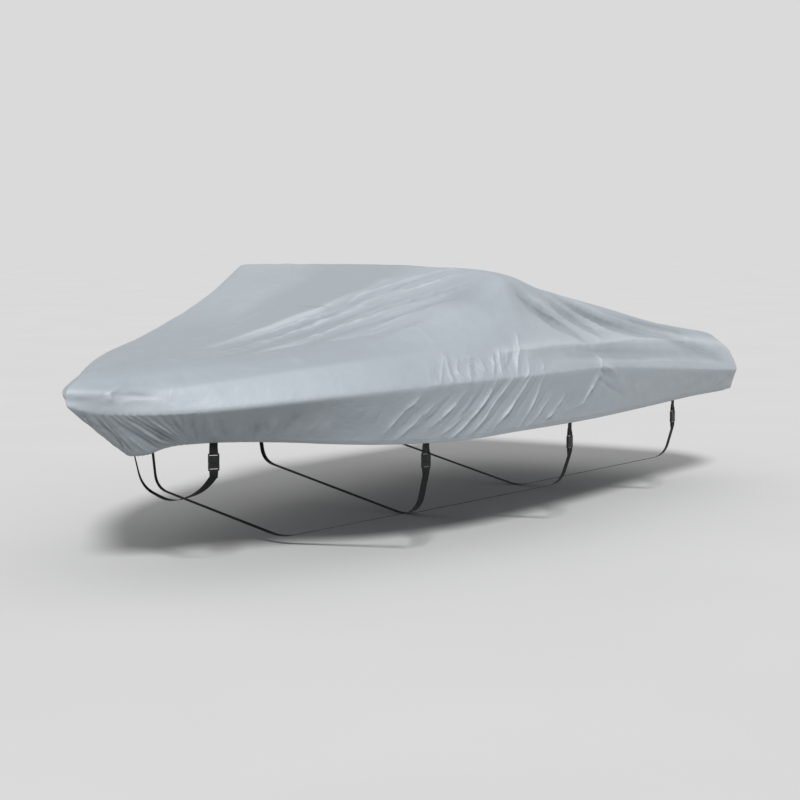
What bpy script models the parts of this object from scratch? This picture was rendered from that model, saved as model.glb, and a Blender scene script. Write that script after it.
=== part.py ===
"""Fitted boat cover: one gathered cloth shell and its four tie-down straps.

Metres. X runs from bow to stern, port is -Y, +Z is up. The origin is the underside of the cloth
at the middle of the windscreen ridge, which is what the cover rests on.
"""
import math
from collections import namedtuple

import bmesh
import bpy
import numpy as np
from mathutils import Vector
from mathutils.bvhtree import BVHTree

# ---------------------------------------------------------------- driving dimensions
CLOTH = 0.002             # thickness of the coated cloth
CLOTH_FACES = 5600        # triangles kept on the outer side of the cloth
MERGE = 0.00001           # points closer than this are one
GAP = 0.0003              # air left where two pieces meet
SEAM_GAP = 0.0005         # air between the cloth and the webbing sewn inside it

WEBBING_WIDTH = 0.038
WEBBING = 0.0018          # thickness of the webbing
SEWN = 0.045              # length of webbing sewn inside the hem
SEWN_FROM = 0.010         # it lies on the cloth from this far up
SEWN_ROWS = 5             # rows of points on the cloth
PROBE = 0.04              # the cloth's inner face is looked for from this far inside
EDGE_AIR = 0.0010         # extra air where the webbing leaves the hem's edge
HANG_IN = 0.002           # it then hangs this much further in
HANG_DROP = 0.008         # and is straight from this far below the edge

BUCKLE_WIDTH = 0.050
BUCKLE_DEPTH = 0.012
SOCKET = 0.042            # length of the buckle's upper half
PLUG = 0.034              # length of its lower half that shows
BAR = 0.0040              # the square bars that the webbing goes round are this thick
SLOT = 0.0062             # height of the slots that it passes
SLOT_WIDTH = 0.0400

COLORS = {
    "cover cloth": ((0.39, 0.42, 0.45), 0.62),
    "black webbing": ((0.012, 0.013, 0.012), 0.80),
    "black plastic": ((0.014, 0.015, 0.015), 0.42),
}

# ---------------------------------------------------------------- form of the stretched cloth
# Half sections from bow to stern. Each column runs from the hem over the gunwale (rail), the upper
# edge of the side (deck) and the shoulder (ridge) to the centre line (spine). x aft of the
# windscreen ridge, y the half breadth, z from the top of the ridge. ridge_soft and deck_soft say
# how far those two corners are rounded off, as a share of the runs beside them.
Section = namedtuple(
    "Section",
    "name rail_x rail_y rail_z hem_x hem_y hem_z deck_x deck_y deck_z "
    "ridge_x ridge_y ridge_z spine_x spine_z ridge_soft deck_soft",
)
SECTIONS = [
    Section("stem", -2.343, .00, -.530, -1.935, .00, -.775, -2.35, .00, -.462,
            -2.26, .00, -.412, -2.18, -.392, .33, .33),
    Section("nose", -2.235, .060, -.562, -1.900, .05, -.772, -2.275, .09, -.477,
            -2.18, .065, -.412, -2.11, -.385, .33, .33),
    Section("bow cheek", -2.065, .20, -.577, -1.820, .12, -.741, -2.07, .21, -.482,
            -1.98, .165, -.390, -1.93, -.366, .33, .33),
    Section("bow flare", -1.86, .40, -.566, -1.660, .22, -.733, -1.83, .37, -.456,
            -1.76, .29, -.372, -1.69, -.350, .33, .33),
    Section("fore deck", -1.55, .62, -.540, -1.430, .40, -.742, -1.51, .55, -.417,
            -1.45, .45, -.352, -1.38, -.326, .33, .33),
    Section("fore cockpit", -1.15, .80, -.520, -1.080, .66, -.773, -1.12, .71, -.386,
            -1.06, .56, -.308, -1.02, -.270, .32, .33),
    Section("dash", -0.68, .92, -.512, -0.640, .84, -.791, -0.65, .84, -.372,
            -0.60, .65, -.193, -0.57, -.162, .26, .33),
    Section("windscreen", -0.10, 1.00, -.515, -0.080, .94, -.786, -0.08, .93, -.385,
            -0.02, .775, -.008, 0.00, .000, .08, .30),
    Section("helm", 0.55, 1.03, -.520, 0.550, .965, -.792, 0.55, .955, -.400,
            0.50, .755, -.108, 0.50, -.080, .28, .18),
    Section("cockpit", 1.30, 1.04, -.570, 1.300, .975, -.787, 1.28, .955, -.435,
            1.22, .79, -.236, 1.20, -.205, .30, .15),
    Section("quarter", 2.00, 1.04, -.625, 2.000, .975, -.780, 1.97, .945, -.475,
            1.92, .81, -.360, 1.86, -.331, .30, .15),
    Section("aft quarter", 2.44, 1.045, -.655, 2.425, .992, -.778, 2.42, .970, -.521,
            2.37, .85, -.420, 2.25, -.388, .30, .20),
    Section("corner", 2.60, .995, -.662, 2.585, .966, -.777, 2.60, .950, -.552,
            2.54, .82, -.434, 2.38, -.400, .30, .28),
    Section("transom", 2.665, .62, -.660, 2.640, .59, -.778, 2.66, .60, -.540,
            2.60, .52, -.428, 2.45, -.406, .30, .28),
    Section("transom mid", 2.67, .00, -.660, 2.645, .00, -.778, 2.665, .00, -.538,
            2.61, .00, -.425, 2.48, -.408, .30, .28),
]
HEM, RAIL, DECK, RIDGE, SPINE = range(5)
WINDSCREEN = [q.name for q in SECTIONS].index("windscreen")
BENT_LINES = ("ridge_z", "spine_z")
STEEPER = 1.4             # how much steeper than its run the cloth comes up to the windscreen
RAIL_SOFT = 0.10          # share of the neighbouring runs that the gunwale edge rounds off
RUN_STEPS = (10, 7, 14, 18)    # rows between hem, rail, deck, ridge and spine
# The cloth is tight on the windscreen's starboard corner and slumps a little on its port one.
SLUMP_AT = 2.33           # place of the corner along the rail
SLUMP_REACH = 0.42
SLUMP_DROP = 0.014
SLUMP_SOFT = 0.14         # added to the share that the corner is rounded off

# ---------------------------------------------------------------- folds
# A fold is a soft ridge (height above 0) or trough (below 0) between two points of the cloth.
# s is the way along the rail from the stem, g the place in the column: 0 hem, 1 rail, 2 deck,
# 3 ridge, 4 spine. width is the half width at which the fold has died away to a third.
FOLD_POINTS = 13          # places taken along a fold
FOLD_REACH = 3.0          # a fold is followed this many half widths to each side
FOLD_START = 0.06         # share of a half wave that is left out at each end of a fold
FOLD_FULLNESS = 0.7       # below 1 keeps a fold near its full height for most of its length
Fold = namedtuple("Fold", "s0 g0 s1 g1 height width")
PORT_FOLDS = [
    # gathers of the bow skirt, drawn in to the hem
    Fold(0.06, 0.85, 0.02, 0.40, 0.008, 0.016),
    Fold(0.10, 0.76, 0.04, 0.18, -0.010, 0.015),
    Fold(0.14, 0.80, 0.08, 0.08, 0.012, 0.016),
    Fold(0.18, 0.82, 0.28, 0.06, -0.011, 0.015),
    Fold(0.22, 0.86, 0.34, 0.06, 0.012, 0.015),
    Fold(0.25, 0.86, 0.40, 0.08, -0.012, 0.014),
    Fold(0.29, 0.87, 0.44, 0.08, 0.013, 0.015),
    Fold(0.32, 0.86, 0.47, 0.10, -0.012, 0.014),
    Fold(0.36, 0.87, 0.49, 0.11, 0.012, 0.015),
    Fold(0.40, 0.86, 0.51, 0.12, -0.010, 0.015),
    Fold(0.46, 0.85, 0.53, 0.14, 0.009, 0.016),
    Fold(0.52, 0.83, 0.56, 0.12, -0.008, 0.017),
    Fold(0.58, 0.80, 0.61, 0.10, 0.006, 0.018),
    Fold(0.65, 0.76, 0.72, 0.10, -0.006, 0.020),
    Fold(0.75, 0.78, 0.79, 0.10, 0.006, 0.022),
    Fold(0.89, 0.80, 0.86, 0.05, -0.009, 0.020),
    Fold(0.95, 0.80, 0.92, 0.08, 0.008, 0.020),
    Fold(1.05, 0.78, 1.03, 0.20, -0.006, 0.022),
    Fold(1.28, 0.75, 1.20, 0.15, 0.006, 0.026),
    # drag folds of the side skirt
    Fold(1.70, 0.86, 1.53, 0.14, 0.009, 0.024),
    Fold(1.80, 0.84, 1.60, 0.20, -0.008, 0.020),
    Fold(1.93, 0.86, 1.66, 0.35, 0.009, 0.022),
    Fold(2.00, 0.92, 1.86, 0.20, -0.010, 0.022),
    Fold(2.09, 0.95, 1.90, 0.08, 0.011, 0.022),
    Fold(2.15, 0.93, 1.95, 0.08, -0.009, 0.018),
    Fold(2.22, 0.97, 2.00, 0.07, 0.010, 0.020),
    Fold(2.29, 0.95, 2.08, 0.10, -0.008, 0.018),
    Fold(2.36, 0.97, 2.16, 0.05, 0.010, 0.020),
    Fold(2.44, 0.93, 2.24, 0.10, -0.008, 0.020),
    Fold(2.50, 0.95, 2.31, 0.08, 0.009, 0.020),
    Fold(2.60, 0.88, 2.46, 0.12, 0.008, 0.020),
    Fold(2.88, 0.55, 2.70, 0.12, 0.008, 0.024),
    Fold(3.22, 0.95, 3.10, 0.30, 0.011, 0.026),
    Fold(3.28, 0.85, 3.18, 0.30, -0.008, 0.026),
    Fold(3.46, 0.85, 3.62, 0.45, 0.006, 0.030),
    # short upright wrinkles over the gunwale
    Fold(1.84, 1.90, 1.80, 1.10, 0.006, 0.014),
    Fold(1.91, 1.85, 1.86, 1.05, 0.007, 0.014),
    Fold(1.97, 1.75, 1.92, 1.02, 0.006, 0.013),
    Fold(2.03, 1.72, 1.97, 1.02, 0.007, 0.014),
    Fold(2.13, 1.80, 2.05, 1.03, 0.007, 0.015),
    Fold(2.26, 1.90, 2.17, 1.05, 0.008, 0.015),
    Fold(2.35, 1.87, 2.27, 1.05, 0.006, 0.014),
    Fold(2.47, 2.04, 2.37, 1.05, 0.008, 0.015),
    Fold(2.62, 1.60, 2.55, 1.02, 0.006, 0.014),
    Fold(3.27, 1.55, 3.22, 0.98, 0.008, 0.022),
    Fold(3.24, 1.15, 3.42, 0.88, 0.006, 0.018),
    # long tension folds from the fore deck up to the windscreen's corner
    Fold(0.84, 3.68, 2.46, 3.44, 0.010, 0.026),
    Fold(0.95, 3.59, 2.05, 3.55, -0.008, 0.022),
    Fold(0.75, 3.32, 1.60, 3.53, 0.009, 0.024),
    Fold(1.75, 3.49, 2.46, 3.27, 0.008, 0.024),
    Fold(1.14, 3.38, 2.40, 3.12, -0.010, 0.026),
    Fold(0.94, 3.20, 1.54, 3.28, 0.006, 0.022),
    Fold(1.72, 3.18, 2.28, 3.10, 0.007, 0.022),
    Fold(1.60, 3.09, 2.26, 3.01, -0.008, 0.022),
    Fold(1.42, 3.06, 2.00, 2.88, 0.008, 0.024),
    Fold(1.85, 3.98, 1.84, 3.66, -0.004, 0.024),
    # the soft corner of the windscreen and the drapes that fall aft from it
    Fold(2.05, 3.00, 2.55, 3.00, -0.010, 0.120),
    Fold(2.72, 2.68, 3.27, 1.98, 0.018, 0.034),
    Fold(2.80, 2.72, 3.48, 2.08, -0.014, 0.032),
    Fold(3.14, 2.66, 3.60, 2.12, 0.010, 0.028),
    Fold(3.12, 2.78, 3.78, 2.28, -0.014, 0.032),
    Fold(3.28, 2.90, 4.56, 2.08, 0.018, 0.038),
    Fold(3.36, 2.92, 4.50, 2.68, -0.012, 0.036),
    Fold(4.40, 2.12, 4.94, 1.46, 0.012, 0.036),
    # the small rise over the bow fitting
    Fold(0.14, 2.25, 0.22, 1.85, 0.005, 0.045),
    # the side falls steeply from the coaming and flares out again over the gunwale
    Fold(2.60, 1.60, 4.95, 1.55, -0.012, 0.040),
    # shallow sags of the cockpit and the stern
    Fold(3.40, 3.80, 4.60, 3.75, -0.012, 0.160),
    Fold(5.05, 2.30, 5.20, 1.20, 0.008, 0.040),
    Fold(5.45, 0.90, 5.43, 0.10, 0.006, 0.024),
    Fold(5.62, 0.90, 5.66, 0.10, -0.006, 0.024),
    Fold(5.85, 0.90, 5.83, 0.15, 0.006, 0.026),
]
# The far side is gathered in the same way, a little further aft and unevenly weaker.
FAR_SHIFT = 0.035
FAR_STRENGTHS = (0.9, 0.6, 0.8, 0.5, 1.0)
STARBOARD_FOLDS = [
    fold._replace(
        s0=fold.s0 + FAR_SHIFT,
        s1=fold.s1 + FAR_SHIFT,
        height=fold.height * FAR_STRENGTHS[i % len(FAR_STRENGTHS)],
    )
    for i, fold in enumerate(PORT_FOLDS)
]

# ---------------------------------------------------------------- tie-down straps
# s is the strap's place along the rail, yaw the turn of the hull's side from the centre line,
# hang the webbing that shows between the hem and the buckle. The strap then follows the hull:
# straight down to the chine, along the bottom to the keel, and up to the other side's hem.
Station = namedtuple("Station", "name s yaw hang chine_y chine_z keel_z")
STATIONS = [
    Station("bow", 0.66, 36.0, 0.050, 0.165, -0.950, -1.010),
    Station("fore", 1.79, 21.0, 0.043, 0.750, -1.100, -1.285),
    Station("middle", 3.01, 3.0, 0.060, 0.905, -1.100, -1.330),
    Station("aft", 4.32, 0.0, 0.055, 0.920, -1.095, -1.330),
]
CALM = 0.075              # the cloth lies smooth this far round a sewn strap
CALM_EDGE = 4             # power that makes the smooth place end softly
CHINE_BEND = 0.070        # how far from the chine and the keel the strap starts to bend
BEND_POINTS = 6           # points round each of those bends
STRAP_STEP = 0.045        # spacing of the strap's points round the hull


def rail_lengths():
    """Way along the rail from the stem to each section."""
    points = np.array([(q.rail_x, q.rail_y, q.rail_z) for q in SECTIONS])
    runs = np.linalg.norm(np.diff(points, axis=0), axis=1)
    return np.concatenate([[0.0], np.cumsum(runs)])


def eased(at, values, s, bend=None):
    """Smooth curve through values at the places at, read at s; it turns sharply at place bend."""
    run = np.diff(at)
    slope = np.diff(values) / run
    arriving = np.empty(len(at))
    arriving[0] = slope[0]
    arriving[-1] = slope[-1]
    arriving[1:-1] = (slope[:-1] * run[1:] + slope[1:] * run[:-1]) / (run[1:] + run[:-1])
    leaving = arriving.copy()
    if bend is not None:
        arriving[bend] = STEEPER * slope[bend - 1]
        leaving[bend] = slope[bend]
    k = np.clip(np.searchsorted(at, s, side="right") - 1, 0, len(at) - 2)
    u = (s - at[k]) / run[k]
    start = (2 * u ** 3 - 3 * u ** 2 + 1) * values[k]
    end = (3 * u ** 2 - 2 * u ** 3) * values[k + 1]
    lean = (u ** 3 - 2 * u ** 2 + u) * leaving[k] + (u ** 3 - u ** 2) * arriving[k + 1]
    return start + end + lean * run[k]


def section_value(name, s):
    """Values of one column of the section table at s; the upper lines bend over the windscreen."""
    values = np.array([getattr(q, name) for q in SECTIONS])
    return eased(rail_lengths(), values, s, WINDSCREEN if name in BENT_LINES else None)


def slump(s, side):
    """How much of the port corner's slump the columns at s have, 0 to 1."""
    return np.exp(-((s - SLUMP_AT) / SLUMP_REACH) ** 2) * (side < 0)


def column_corners(s, side):
    """The five corners of the columns at s: an array of columns, corners and x y z."""
    corners = np.zeros((len(s), 5, 3))
    for k, line in enumerate(("hem", "rail", "deck", "ridge")):
        corners[:, k, 0] = section_value(line + "_x", s)
        corners[:, k, 1] = np.maximum(section_value(line + "_y", s), 0.0)
        corners[:, k, 2] = section_value(line + "_z", s)
    corners[:, SPINE, 0] = section_value("spine_x", s)
    corners[:, SPINE, 2] = section_value("spine_z", s)
    corners[:, RIDGE, 2] -= SLUMP_DROP * slump(s, side)
    return corners


def rounded(corners, k, share, u):
    """Arc that rounds off corner k; u runs 0 to 1 across it."""
    share = np.reshape(share, (-1, 1))
    before = corners[:, k] + share * (corners[:, k - 1] - corners[:, k])
    after = corners[:, k] + share * (corners[:, k + 1] - corners[:, k])
    return (1 - u) ** 2 * before + 2 * u * (1 - u) * corners[:, k] + u ** 2 * after


def column_point(corners, soft, g):
    """Points of all columns at place g; soft says how far each corner is rounded off."""
    nearest = int(round(g))
    share = soft.get(nearest, 0.0)
    share = np.broadcast_to(share, (len(corners),))
    low = min(int(math.floor(g)), 3)
    straight = corners[:, low] + (g - low) * (corners[:, low + 1] - corners[:, low])
    off = g - nearest
    inside = share > abs(off)
    if not inside.any():
        return straight
    reach = np.where(inside, share, 1.0)
    arc = rounded(corners, nearest, reach, np.reshape((off + reach) / (2 * reach), (-1, 1)))
    return np.where(inside[:, None], arc, straight)


def crown(corners, g):
    """Rise between ridge and spine that makes the two sides meet level on the centre line."""
    u = np.maximum(g - RIDGE, 0.0)
    rise = corners[:, SPINE, 2] - corners[:, RIDGE, 2]
    return rise[:, None] * (u ** 2 - u ** 3)[None, :]


def plain_form(s, g, side):
    """Stretched cloth without its folds, as an array of columns, rows and x y z."""
    corners = column_corners(s, side)
    soft = {
        RAIL: RAIL_SOFT,
        DECK: section_value("deck_soft", s),
        RIDGE: section_value("ridge_soft", s) + SLUMP_SOFT * slump(s, side),
    }
    points = np.stack([column_point(corners, soft, place) for place in g], axis=1)
    points[..., 1] *= side
    points[..., 2] += CLOTH + crown(corners, np.asarray(g))
    return points


def fold_offsets(points, folds, side):
    """Height of the folds at each point, measured along the surface's normal."""
    total = np.zeros(points.shape[:-1])
    for fold in folds:
        t = np.linspace(0.0, 1.0, FOLD_POINTS)
        s = fold.s0 + (fold.s1 - fold.s0) * t
        g = fold.g0 + (fold.g1 - fold.g0) * t
        path = np.array([plain_form(np.array([a]), [b], side)[0, 0] for a, b in zip(s, g)])
        start, run = path[:-1], np.diff(path, axis=0)
        reach = FOLD_REACH * fold.width
        low = path.min(axis=0) - reach
        high = path.max(axis=0) + reach
        near = np.all((points > low) & (points < high), axis=-1)
        p = points[near][:, None, :]
        u = np.clip(np.sum((p - start) * run, axis=-1) / np.sum(run * run, axis=-1), 0.0, 1.0)
        distance = np.linalg.norm(p - (start + u[..., None] * run), axis=-1)
        best = np.argmin(distance, axis=1)
        pick = np.arange(len(best))
        along = (best + u[pick, best]) / (len(path) - 1)
        wave = FOLD_START + (1.0 - 2.0 * FOLD_START) * along
        taper = np.sin(np.pi * wave) ** FOLD_FULLNESS
        total[near] += fold.height * taper * np.exp(-(distance[pick, best] / fold.width) ** 2)
    for station in STATIONS:
        hem = plain_form(np.array([station.s]), [0.0], side)[0, 0]
        away = np.linalg.norm(points - hem, axis=-1)
        total *= 1.0 - np.exp(-(away / CALM) ** CALM_EDGE)
    return total


def surface_normals(points, side):
    """Outward normals of a grid of columns and rows."""
    down_columns = np.gradient(points, axis=0)
    up_rows = np.gradient(points, axis=1)
    normal = np.cross(up_rows, down_columns) * side
    length = np.linalg.norm(normal, axis=-1, keepdims=True)
    normal = normal / np.maximum(length, 1e-9)
    return normal


def folded_form(s, g, side, folds):
    """Stretched cloth with its folds."""
    points = plain_form(s, g, side)
    return points + surface_normals(points, side) * fold_offsets(points, folds, side)[..., None]


# spacing of the columns of points, up to each place along the rail
COLUMN_STEPS = [(0.75, 0.014), (1.50, 0.030), (2.75, 0.020), (5.00, 0.036), (6.30, 0.040)]


def cloth_columns():
    """Places of the columns along the rail, closer together where the cloth is gathered."""
    total = rail_lengths()[-1]
    places = [0.0]
    for end, step in COLUMN_STEPS:
        end = min(end, total)
        count = max(1, int(round((end - places[-1]) / step)))
        places.extend(np.linspace(places[-1], end, count + 1)[1:])
    return np.array(places)


def cloth_rows():
    """Places of the rows in a column, from the hem to the spine."""
    rows = [np.linspace(k, k + 1, steps, endpoint=False) for k, steps in enumerate(RUN_STEPS)]
    return np.append(np.concatenate(rows), float(SPINE))


# ---------------------------------------------------------------- scene helpers
def empty_scene():
    for obj in list(bpy.data.objects):
        bpy.data.objects.remove(obj, do_unlink=True)


def new_collection(name):
    collection = bpy.data.collections.new(name)
    bpy.context.scene.collection.children.link(collection)
    return collection


def material(name):
    color, roughness = COLORS[name]
    mat = bpy.data.materials.get(name)
    if mat is None:
        mat = bpy.data.materials.new(name)
        mat.use_nodes = True
        shader = mat.node_tree.nodes["Principled BSDF"]
        shader.inputs["Base Color"].default_value = (*color, 1.0)
        shader.inputs["Roughness"].default_value = roughness
        shader.inputs["Metallic"].default_value = 0.0
    return mat


def new_object(name, mesh, material_name, collection):
    obj = bpy.data.objects.new(name, mesh)
    mesh.materials.append(material(material_name))
    collection.objects.link(obj)
    return obj


def solidify(obj, thickness, offset):
    shell = obj.modifiers.new("thickness", "SOLIDIFY")
    shell.thickness = thickness
    shell.offset = offset
    shell.use_even_offset = True
    return shell


# ---------------------------------------------------------------- the cloth
def half_cloth(side, folds):
    return folded_form(cloth_columns(), cloth_rows(), side, folds)


def sewn_halves():
    """Port and starboard grids with the same points where they meet."""
    port = half_cloth(-1, PORT_FOLDS)
    starboard = half_cloth(1, STARBOARD_FOLDS)
    shared = np.zeros(port.shape[:2], dtype=bool)
    shared[0, :] = True
    shared[-1, :] = True
    shared[:, -1] = True
    middle = 0.5 * (port + starboard)
    port[shared] = middle[shared]
    starboard[shared] = middle[shared]
    return port, starboard, shared


def make_cloth(collection):
    port, starboard, shared = sewn_halves()
    bm = bmesh.new()
    columns, rows = shared.shape
    port_points = [[bm.verts.new(p) for p in column] for column in port]
    starboard_points = [
        [port_points[i][j] if shared[i, j] else bm.verts.new(starboard[i, j]) for j in range(rows)]
        for i in range(columns)
    ]
    for i in range(columns - 1):
        for j in range(rows - 1):
            p = port_points
            bm.faces.new((p[i][j], p[i][j + 1], p[i + 1][j + 1], p[i + 1][j]))
            q = starboard_points
            bm.faces.new((q[i][j], q[i + 1][j], q[i + 1][j + 1], q[i][j + 1]))
    bmesh.ops.remove_doubles(bm, verts=bm.verts, dist=MERGE)
    bmesh.ops.dissolve_degenerate(bm, edges=bm.edges, dist=MERGE)
    bmesh.ops.triangulate(bm, faces=bm.faces)
    faces = len(bm.faces)
    mesh = bpy.data.meshes.new("cover")
    bm.to_mesh(mesh)
    bm.free()
    mesh.shade_smooth()
    obj = new_object("cover", mesh, "cover cloth", collection)
    thin = obj.modifiers.new("fewer faces", "DECIMATE")
    thin.ratio = CLOTH_FACES / faces
    thin.use_collapse_triangulate = True
    solidify(obj, CLOTH, -1.0)
    return obj


# ---------------------------------------------------------------- webbing
def station_axes(station, side):
    """Along the hem and outward from it, both level."""
    turn = math.radians(station.yaw)
    along = Vector((math.cos(turn), side * math.sin(turn), 0.0))
    outward = Vector((-math.sin(turn), side * math.cos(turn), 0.0))
    return along, outward


def hem_point(station, side):
    return Vector(plain_form(np.array([station.s]), [0.0], side)[0, 0])


def cloth_slope(station, side):
    """Way up the cloth from the hem, and the way into the hull across it."""
    low, high = plain_form(np.array([station.s]), [0.0, 0.5], side)[0]
    outward = station_axes(station, side)[1]
    rise = Vector(high - low)
    up = (outward * rise.dot(outward) + Vector((0.0, 0.0, rise.z))).normalized()
    inward = (Vector((0.0, 0.0, 1.0)) * up.dot(outward) - outward * up.z).normalized()
    return up, inward


def sewn_rows(station, side, cloth_tree):
    """Rows of webbing on the inner face of the cloth, from the hem's edge upward."""
    along = station_axes(station, side)[0]
    up, inward = cloth_slope(station, side)
    hem = hem_point(station, side)
    rows = []
    for height in np.linspace(SEWN_FROM, SEWN, SEWN_ROWS):
        row = []
        for across in (-0.5, 0.0, 0.5):
            start = hem + up * float(height) + along * (across * WEBBING_WIDTH) + inward * PROBE
            hit = cloth_tree.ray_cast(start, -inward, 2 * PROBE)[0]
            row.append(hit + inward * (SEAM_GAP + WEBBING / 2))
        rows.append(row)
    return rows


def level_row(point, along):
    return [point + along * (across * WEBBING_WIDTH) for across in (-0.5, 0.0, 0.5)]


def edge_point(station, side):
    """Where the webbing passes the hem's edge."""
    inward = cloth_slope(station, side)[1]
    return hem_point(station, side) + inward * (CLOTH + SEAM_GAP + WEBBING / 2 + EDGE_AIR)


def hang_point(station, side):
    """Where the webbing starts to hang straight."""
    outward = station_axes(station, side)[1]
    return edge_point(station, side) - outward * HANG_IN - Vector((0.0, 0.0, HANG_DROP))


def round_bar(outward, bar, reach, way):
    """Webbing round a bar: it comes along the front, turns, and ends sewn back behind itself.

    way is 1 where the webbing comes from above the bar and -1 where it comes from below.
    """
    radius = BAR / math.sqrt(2) + 2 * GAP + WEBBING / 2
    behind = WEBBING + 2 * GAP
    up = Vector((0.0, 0.0, float(way)))
    points = [bar + up * reach, bar + outward * radius + up * (BAR_NEAR * reach)]
    for turn in np.linspace(0.0, math.pi, BAR_POINTS):
        points.append(bar + outward * (radius * math.cos(turn)) - up * (radius * math.sin(turn)))
    points.append(bar - outward * radius + up * (BAR_NEAR * reach))
    points.append(bar - outward * behind + up * reach)
    points.append(bar - outward * behind + up * (BAR_END * reach))
    return points


BAR_REACH = 0.026         # the webbing spreads from this far off to go round a bar
BAR_NEAR = 0.3            # share of that way at which it is as far apart as the bar is thick
BAR_END = 1.3             # share of that way at which the turned end stops
BAR_POINTS = 7            # points round the bar
BAR_ABOVE = SOCKET - BAR / 2      # bar of the socket over the buckle's middle joint
BAR_BELOW = PLUG - BAR / 2        # bar of the plug under it


def buckle_joint(station):
    """Middle joint of the buckle, where its two halves meet."""
    drop = station.hang + SOCKET - HANG_DROP
    return hang_point(station, -1) - Vector((0.0, 0.0, drop))


def strip(name, rows, collection):
    """Webbing from rows of three points across it."""
    bm = bmesh.new()
    grid = [[bm.verts.new(p) for p in row] for row in rows]
    for low, high in zip(grid, grid[1:]):
        for k in range(2):
            bm.faces.new((low[k], low[k + 1], high[k + 1], high[k]))
    mesh = bpy.data.meshes.new(name)
    bm.to_mesh(mesh)
    bm.free()
    obj = new_object(name, mesh, "black webbing", collection)
    solidify(obj, WEBBING, 0.0)
    return obj


def make_tab(station, cloth_tree, collection):
    along, outward = station_axes(station, -1)
    sewn = sewn_rows(station, -1, cloth_tree)[::-1]
    bar = buckle_joint(station) + Vector((0.0, 0.0, BAR_ABOVE))
    leaving = [edge_point(station, -1), hang_point(station, -1)]
    points = leaving + round_bar(outward, bar, BAR_REACH, 1)
    rows = sewn + [level_row(p, along) for p in points]
    return strip("tab_" + station.name, rows, collection)


def bent_path(corners):
    """Points along a path whose inner corners are rounded off."""
    points = [corners[0]]
    for before, corner, after in zip(corners, corners[1:], corners[2:]):
        start = corner + (before - corner).normalized() * CHINE_BEND
        end = corner + (after - corner).normalized() * CHINE_BEND
        for u in np.linspace(0.0, 1.0, BEND_POINTS):
            u = float(u)
            points.append((1 - u) ** 2 * start + 2 * u * (1 - u) * corner + u ** 2 * end)
    points.append(corners[-1])
    return points


def spaced(points, step):
    """The same path with points added where they lie further apart than step."""
    path = [points[0]]
    for a, b in zip(points, points[1:]):
        count = max(1, math.ceil((b - a).length / step))
        path.extend(a.lerp(b, k / count) for k in range(1, count + 1))
    return path


def make_strap(station, cloth_tree, collection):
    port_along, port_outward = station_axes(station, -1)
    starboard_along = station_axes(station, 1)[0]
    bar = buckle_joint(station) - Vector((0.0, 0.0, BAR_BELOW))
    loop = round_bar(port_outward, bar, BAR_REACH, -1)[::-1]
    top = loop[-1]
    far_top = hang_point(station, 1)
    x = top.x
    corners = [
        top,
        Vector((x, -station.chine_y, station.chine_z)),
        Vector((x, 0.0, station.keel_z)),
        Vector((x, station.chine_y, station.chine_z)),
        far_top,
    ]
    path = spaced(bent_path(corners), STRAP_STEP)[1:] + [edge_point(station, 1)]
    rows = [level_row(p, port_along) for p in loop]
    for point in path:
        share = (point.y - top.y) / (far_top.y - top.y)
        along = port_along.lerp(starboard_along, min(max(share, 0.0), 1.0)).normalized()
        rows.append(level_row(point, along))
    rows += sewn_rows(station, 1, cloth_tree)
    return strip("strap_" + station.name, rows, collection)


# ---------------------------------------------------------------- side-release buckle
# Its own axes: x across, y out of the hull, z up, with the joint of the halves at z 0.
POCKET_HALF = 0.0210      # half width of the socket's mouth
POCKET_DEEP = 0.0240
POCKET_THICK = 0.0066
WINDOW_LOW = 0.0050       # the release buttons show in windows between these heights
WINDOW_HIGH = 0.0190
WINDOW_IN = 0.0165
ARM_IN = 0.0125
BUTTON_OUT = 0.0238
TONGUE_HALF = 0.0055
ROOT = 0.0020             # how far the plug's arms reach down into its body
EDGE_ROUND = 0.0022       # rounding of the buckle's edges
WINDOW_SHARE = 0.75       # share of the socket's depth that the windows open
BUTTON_SHARE = 0.9        # share of the arms' thickness that the buttons have
THIN_SHARE = 0.7          # share of the slot's height that is thinned down with the bar
BARS_CUT = 2.0            # the thinned part reaches this many bars past the bar
MOUTH_OPEN = 0.01         # the mouth's cutter reaches this far below the socket


def box(name, low, high, collection):
    bm = bmesh.new()
    bmesh.ops.create_cube(bm, size=1.0)
    size = Vector(high) - Vector(low)
    middle = (Vector(high) + Vector(low)) / 2
    for vert in bm.verts:
        vert.co = Vector([a * b for a, b in zip(vert.co, size)]) + middle
    mesh = bpy.data.meshes.new(name)
    bm.to_mesh(mesh)
    bm.free()
    obj = bpy.data.objects.new(name, mesh)
    collection.objects.link(obj)
    return obj


def symmetric_boxes(name, low, high, collection):
    """A box and its mirror image in x."""
    other_low = (-high[0], low[1], low[2])
    other_high = (-low[0], high[1], high[2])
    return [box(name, low, high, collection), box(name, other_low, other_high, collection)]


def combine(base, others, operation):
    for other in others:
        step = base.modifiers.new(operation.lower(), "BOOLEAN")
        step.operation = operation
        step.solver = "EXACT"
        step.object = other
        other.hide_render = True
        other.display_type = "WIRE"


def finished_mesh(obj, name):
    """The object's shape with its modifiers, as a mesh of its own; the object is removed."""
    evaluated = obj.evaluated_get(bpy.context.evaluated_depsgraph_get())
    mesh = bpy.data.meshes.new_from_object(evaluated)
    mesh.name = name
    bpy.data.objects.remove(obj, do_unlink=True)
    mesh.materials.clear()
    mesh.materials.append(material("black plastic"))
    return mesh


def rounded_block(name, low, high, collection):
    block = box(name, low, high, collection)
    bevel = block.modifiers.new("rounded edges", "BEVEL")
    bevel.width = EDGE_ROUND
    bevel.segments = 2
    return block


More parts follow.
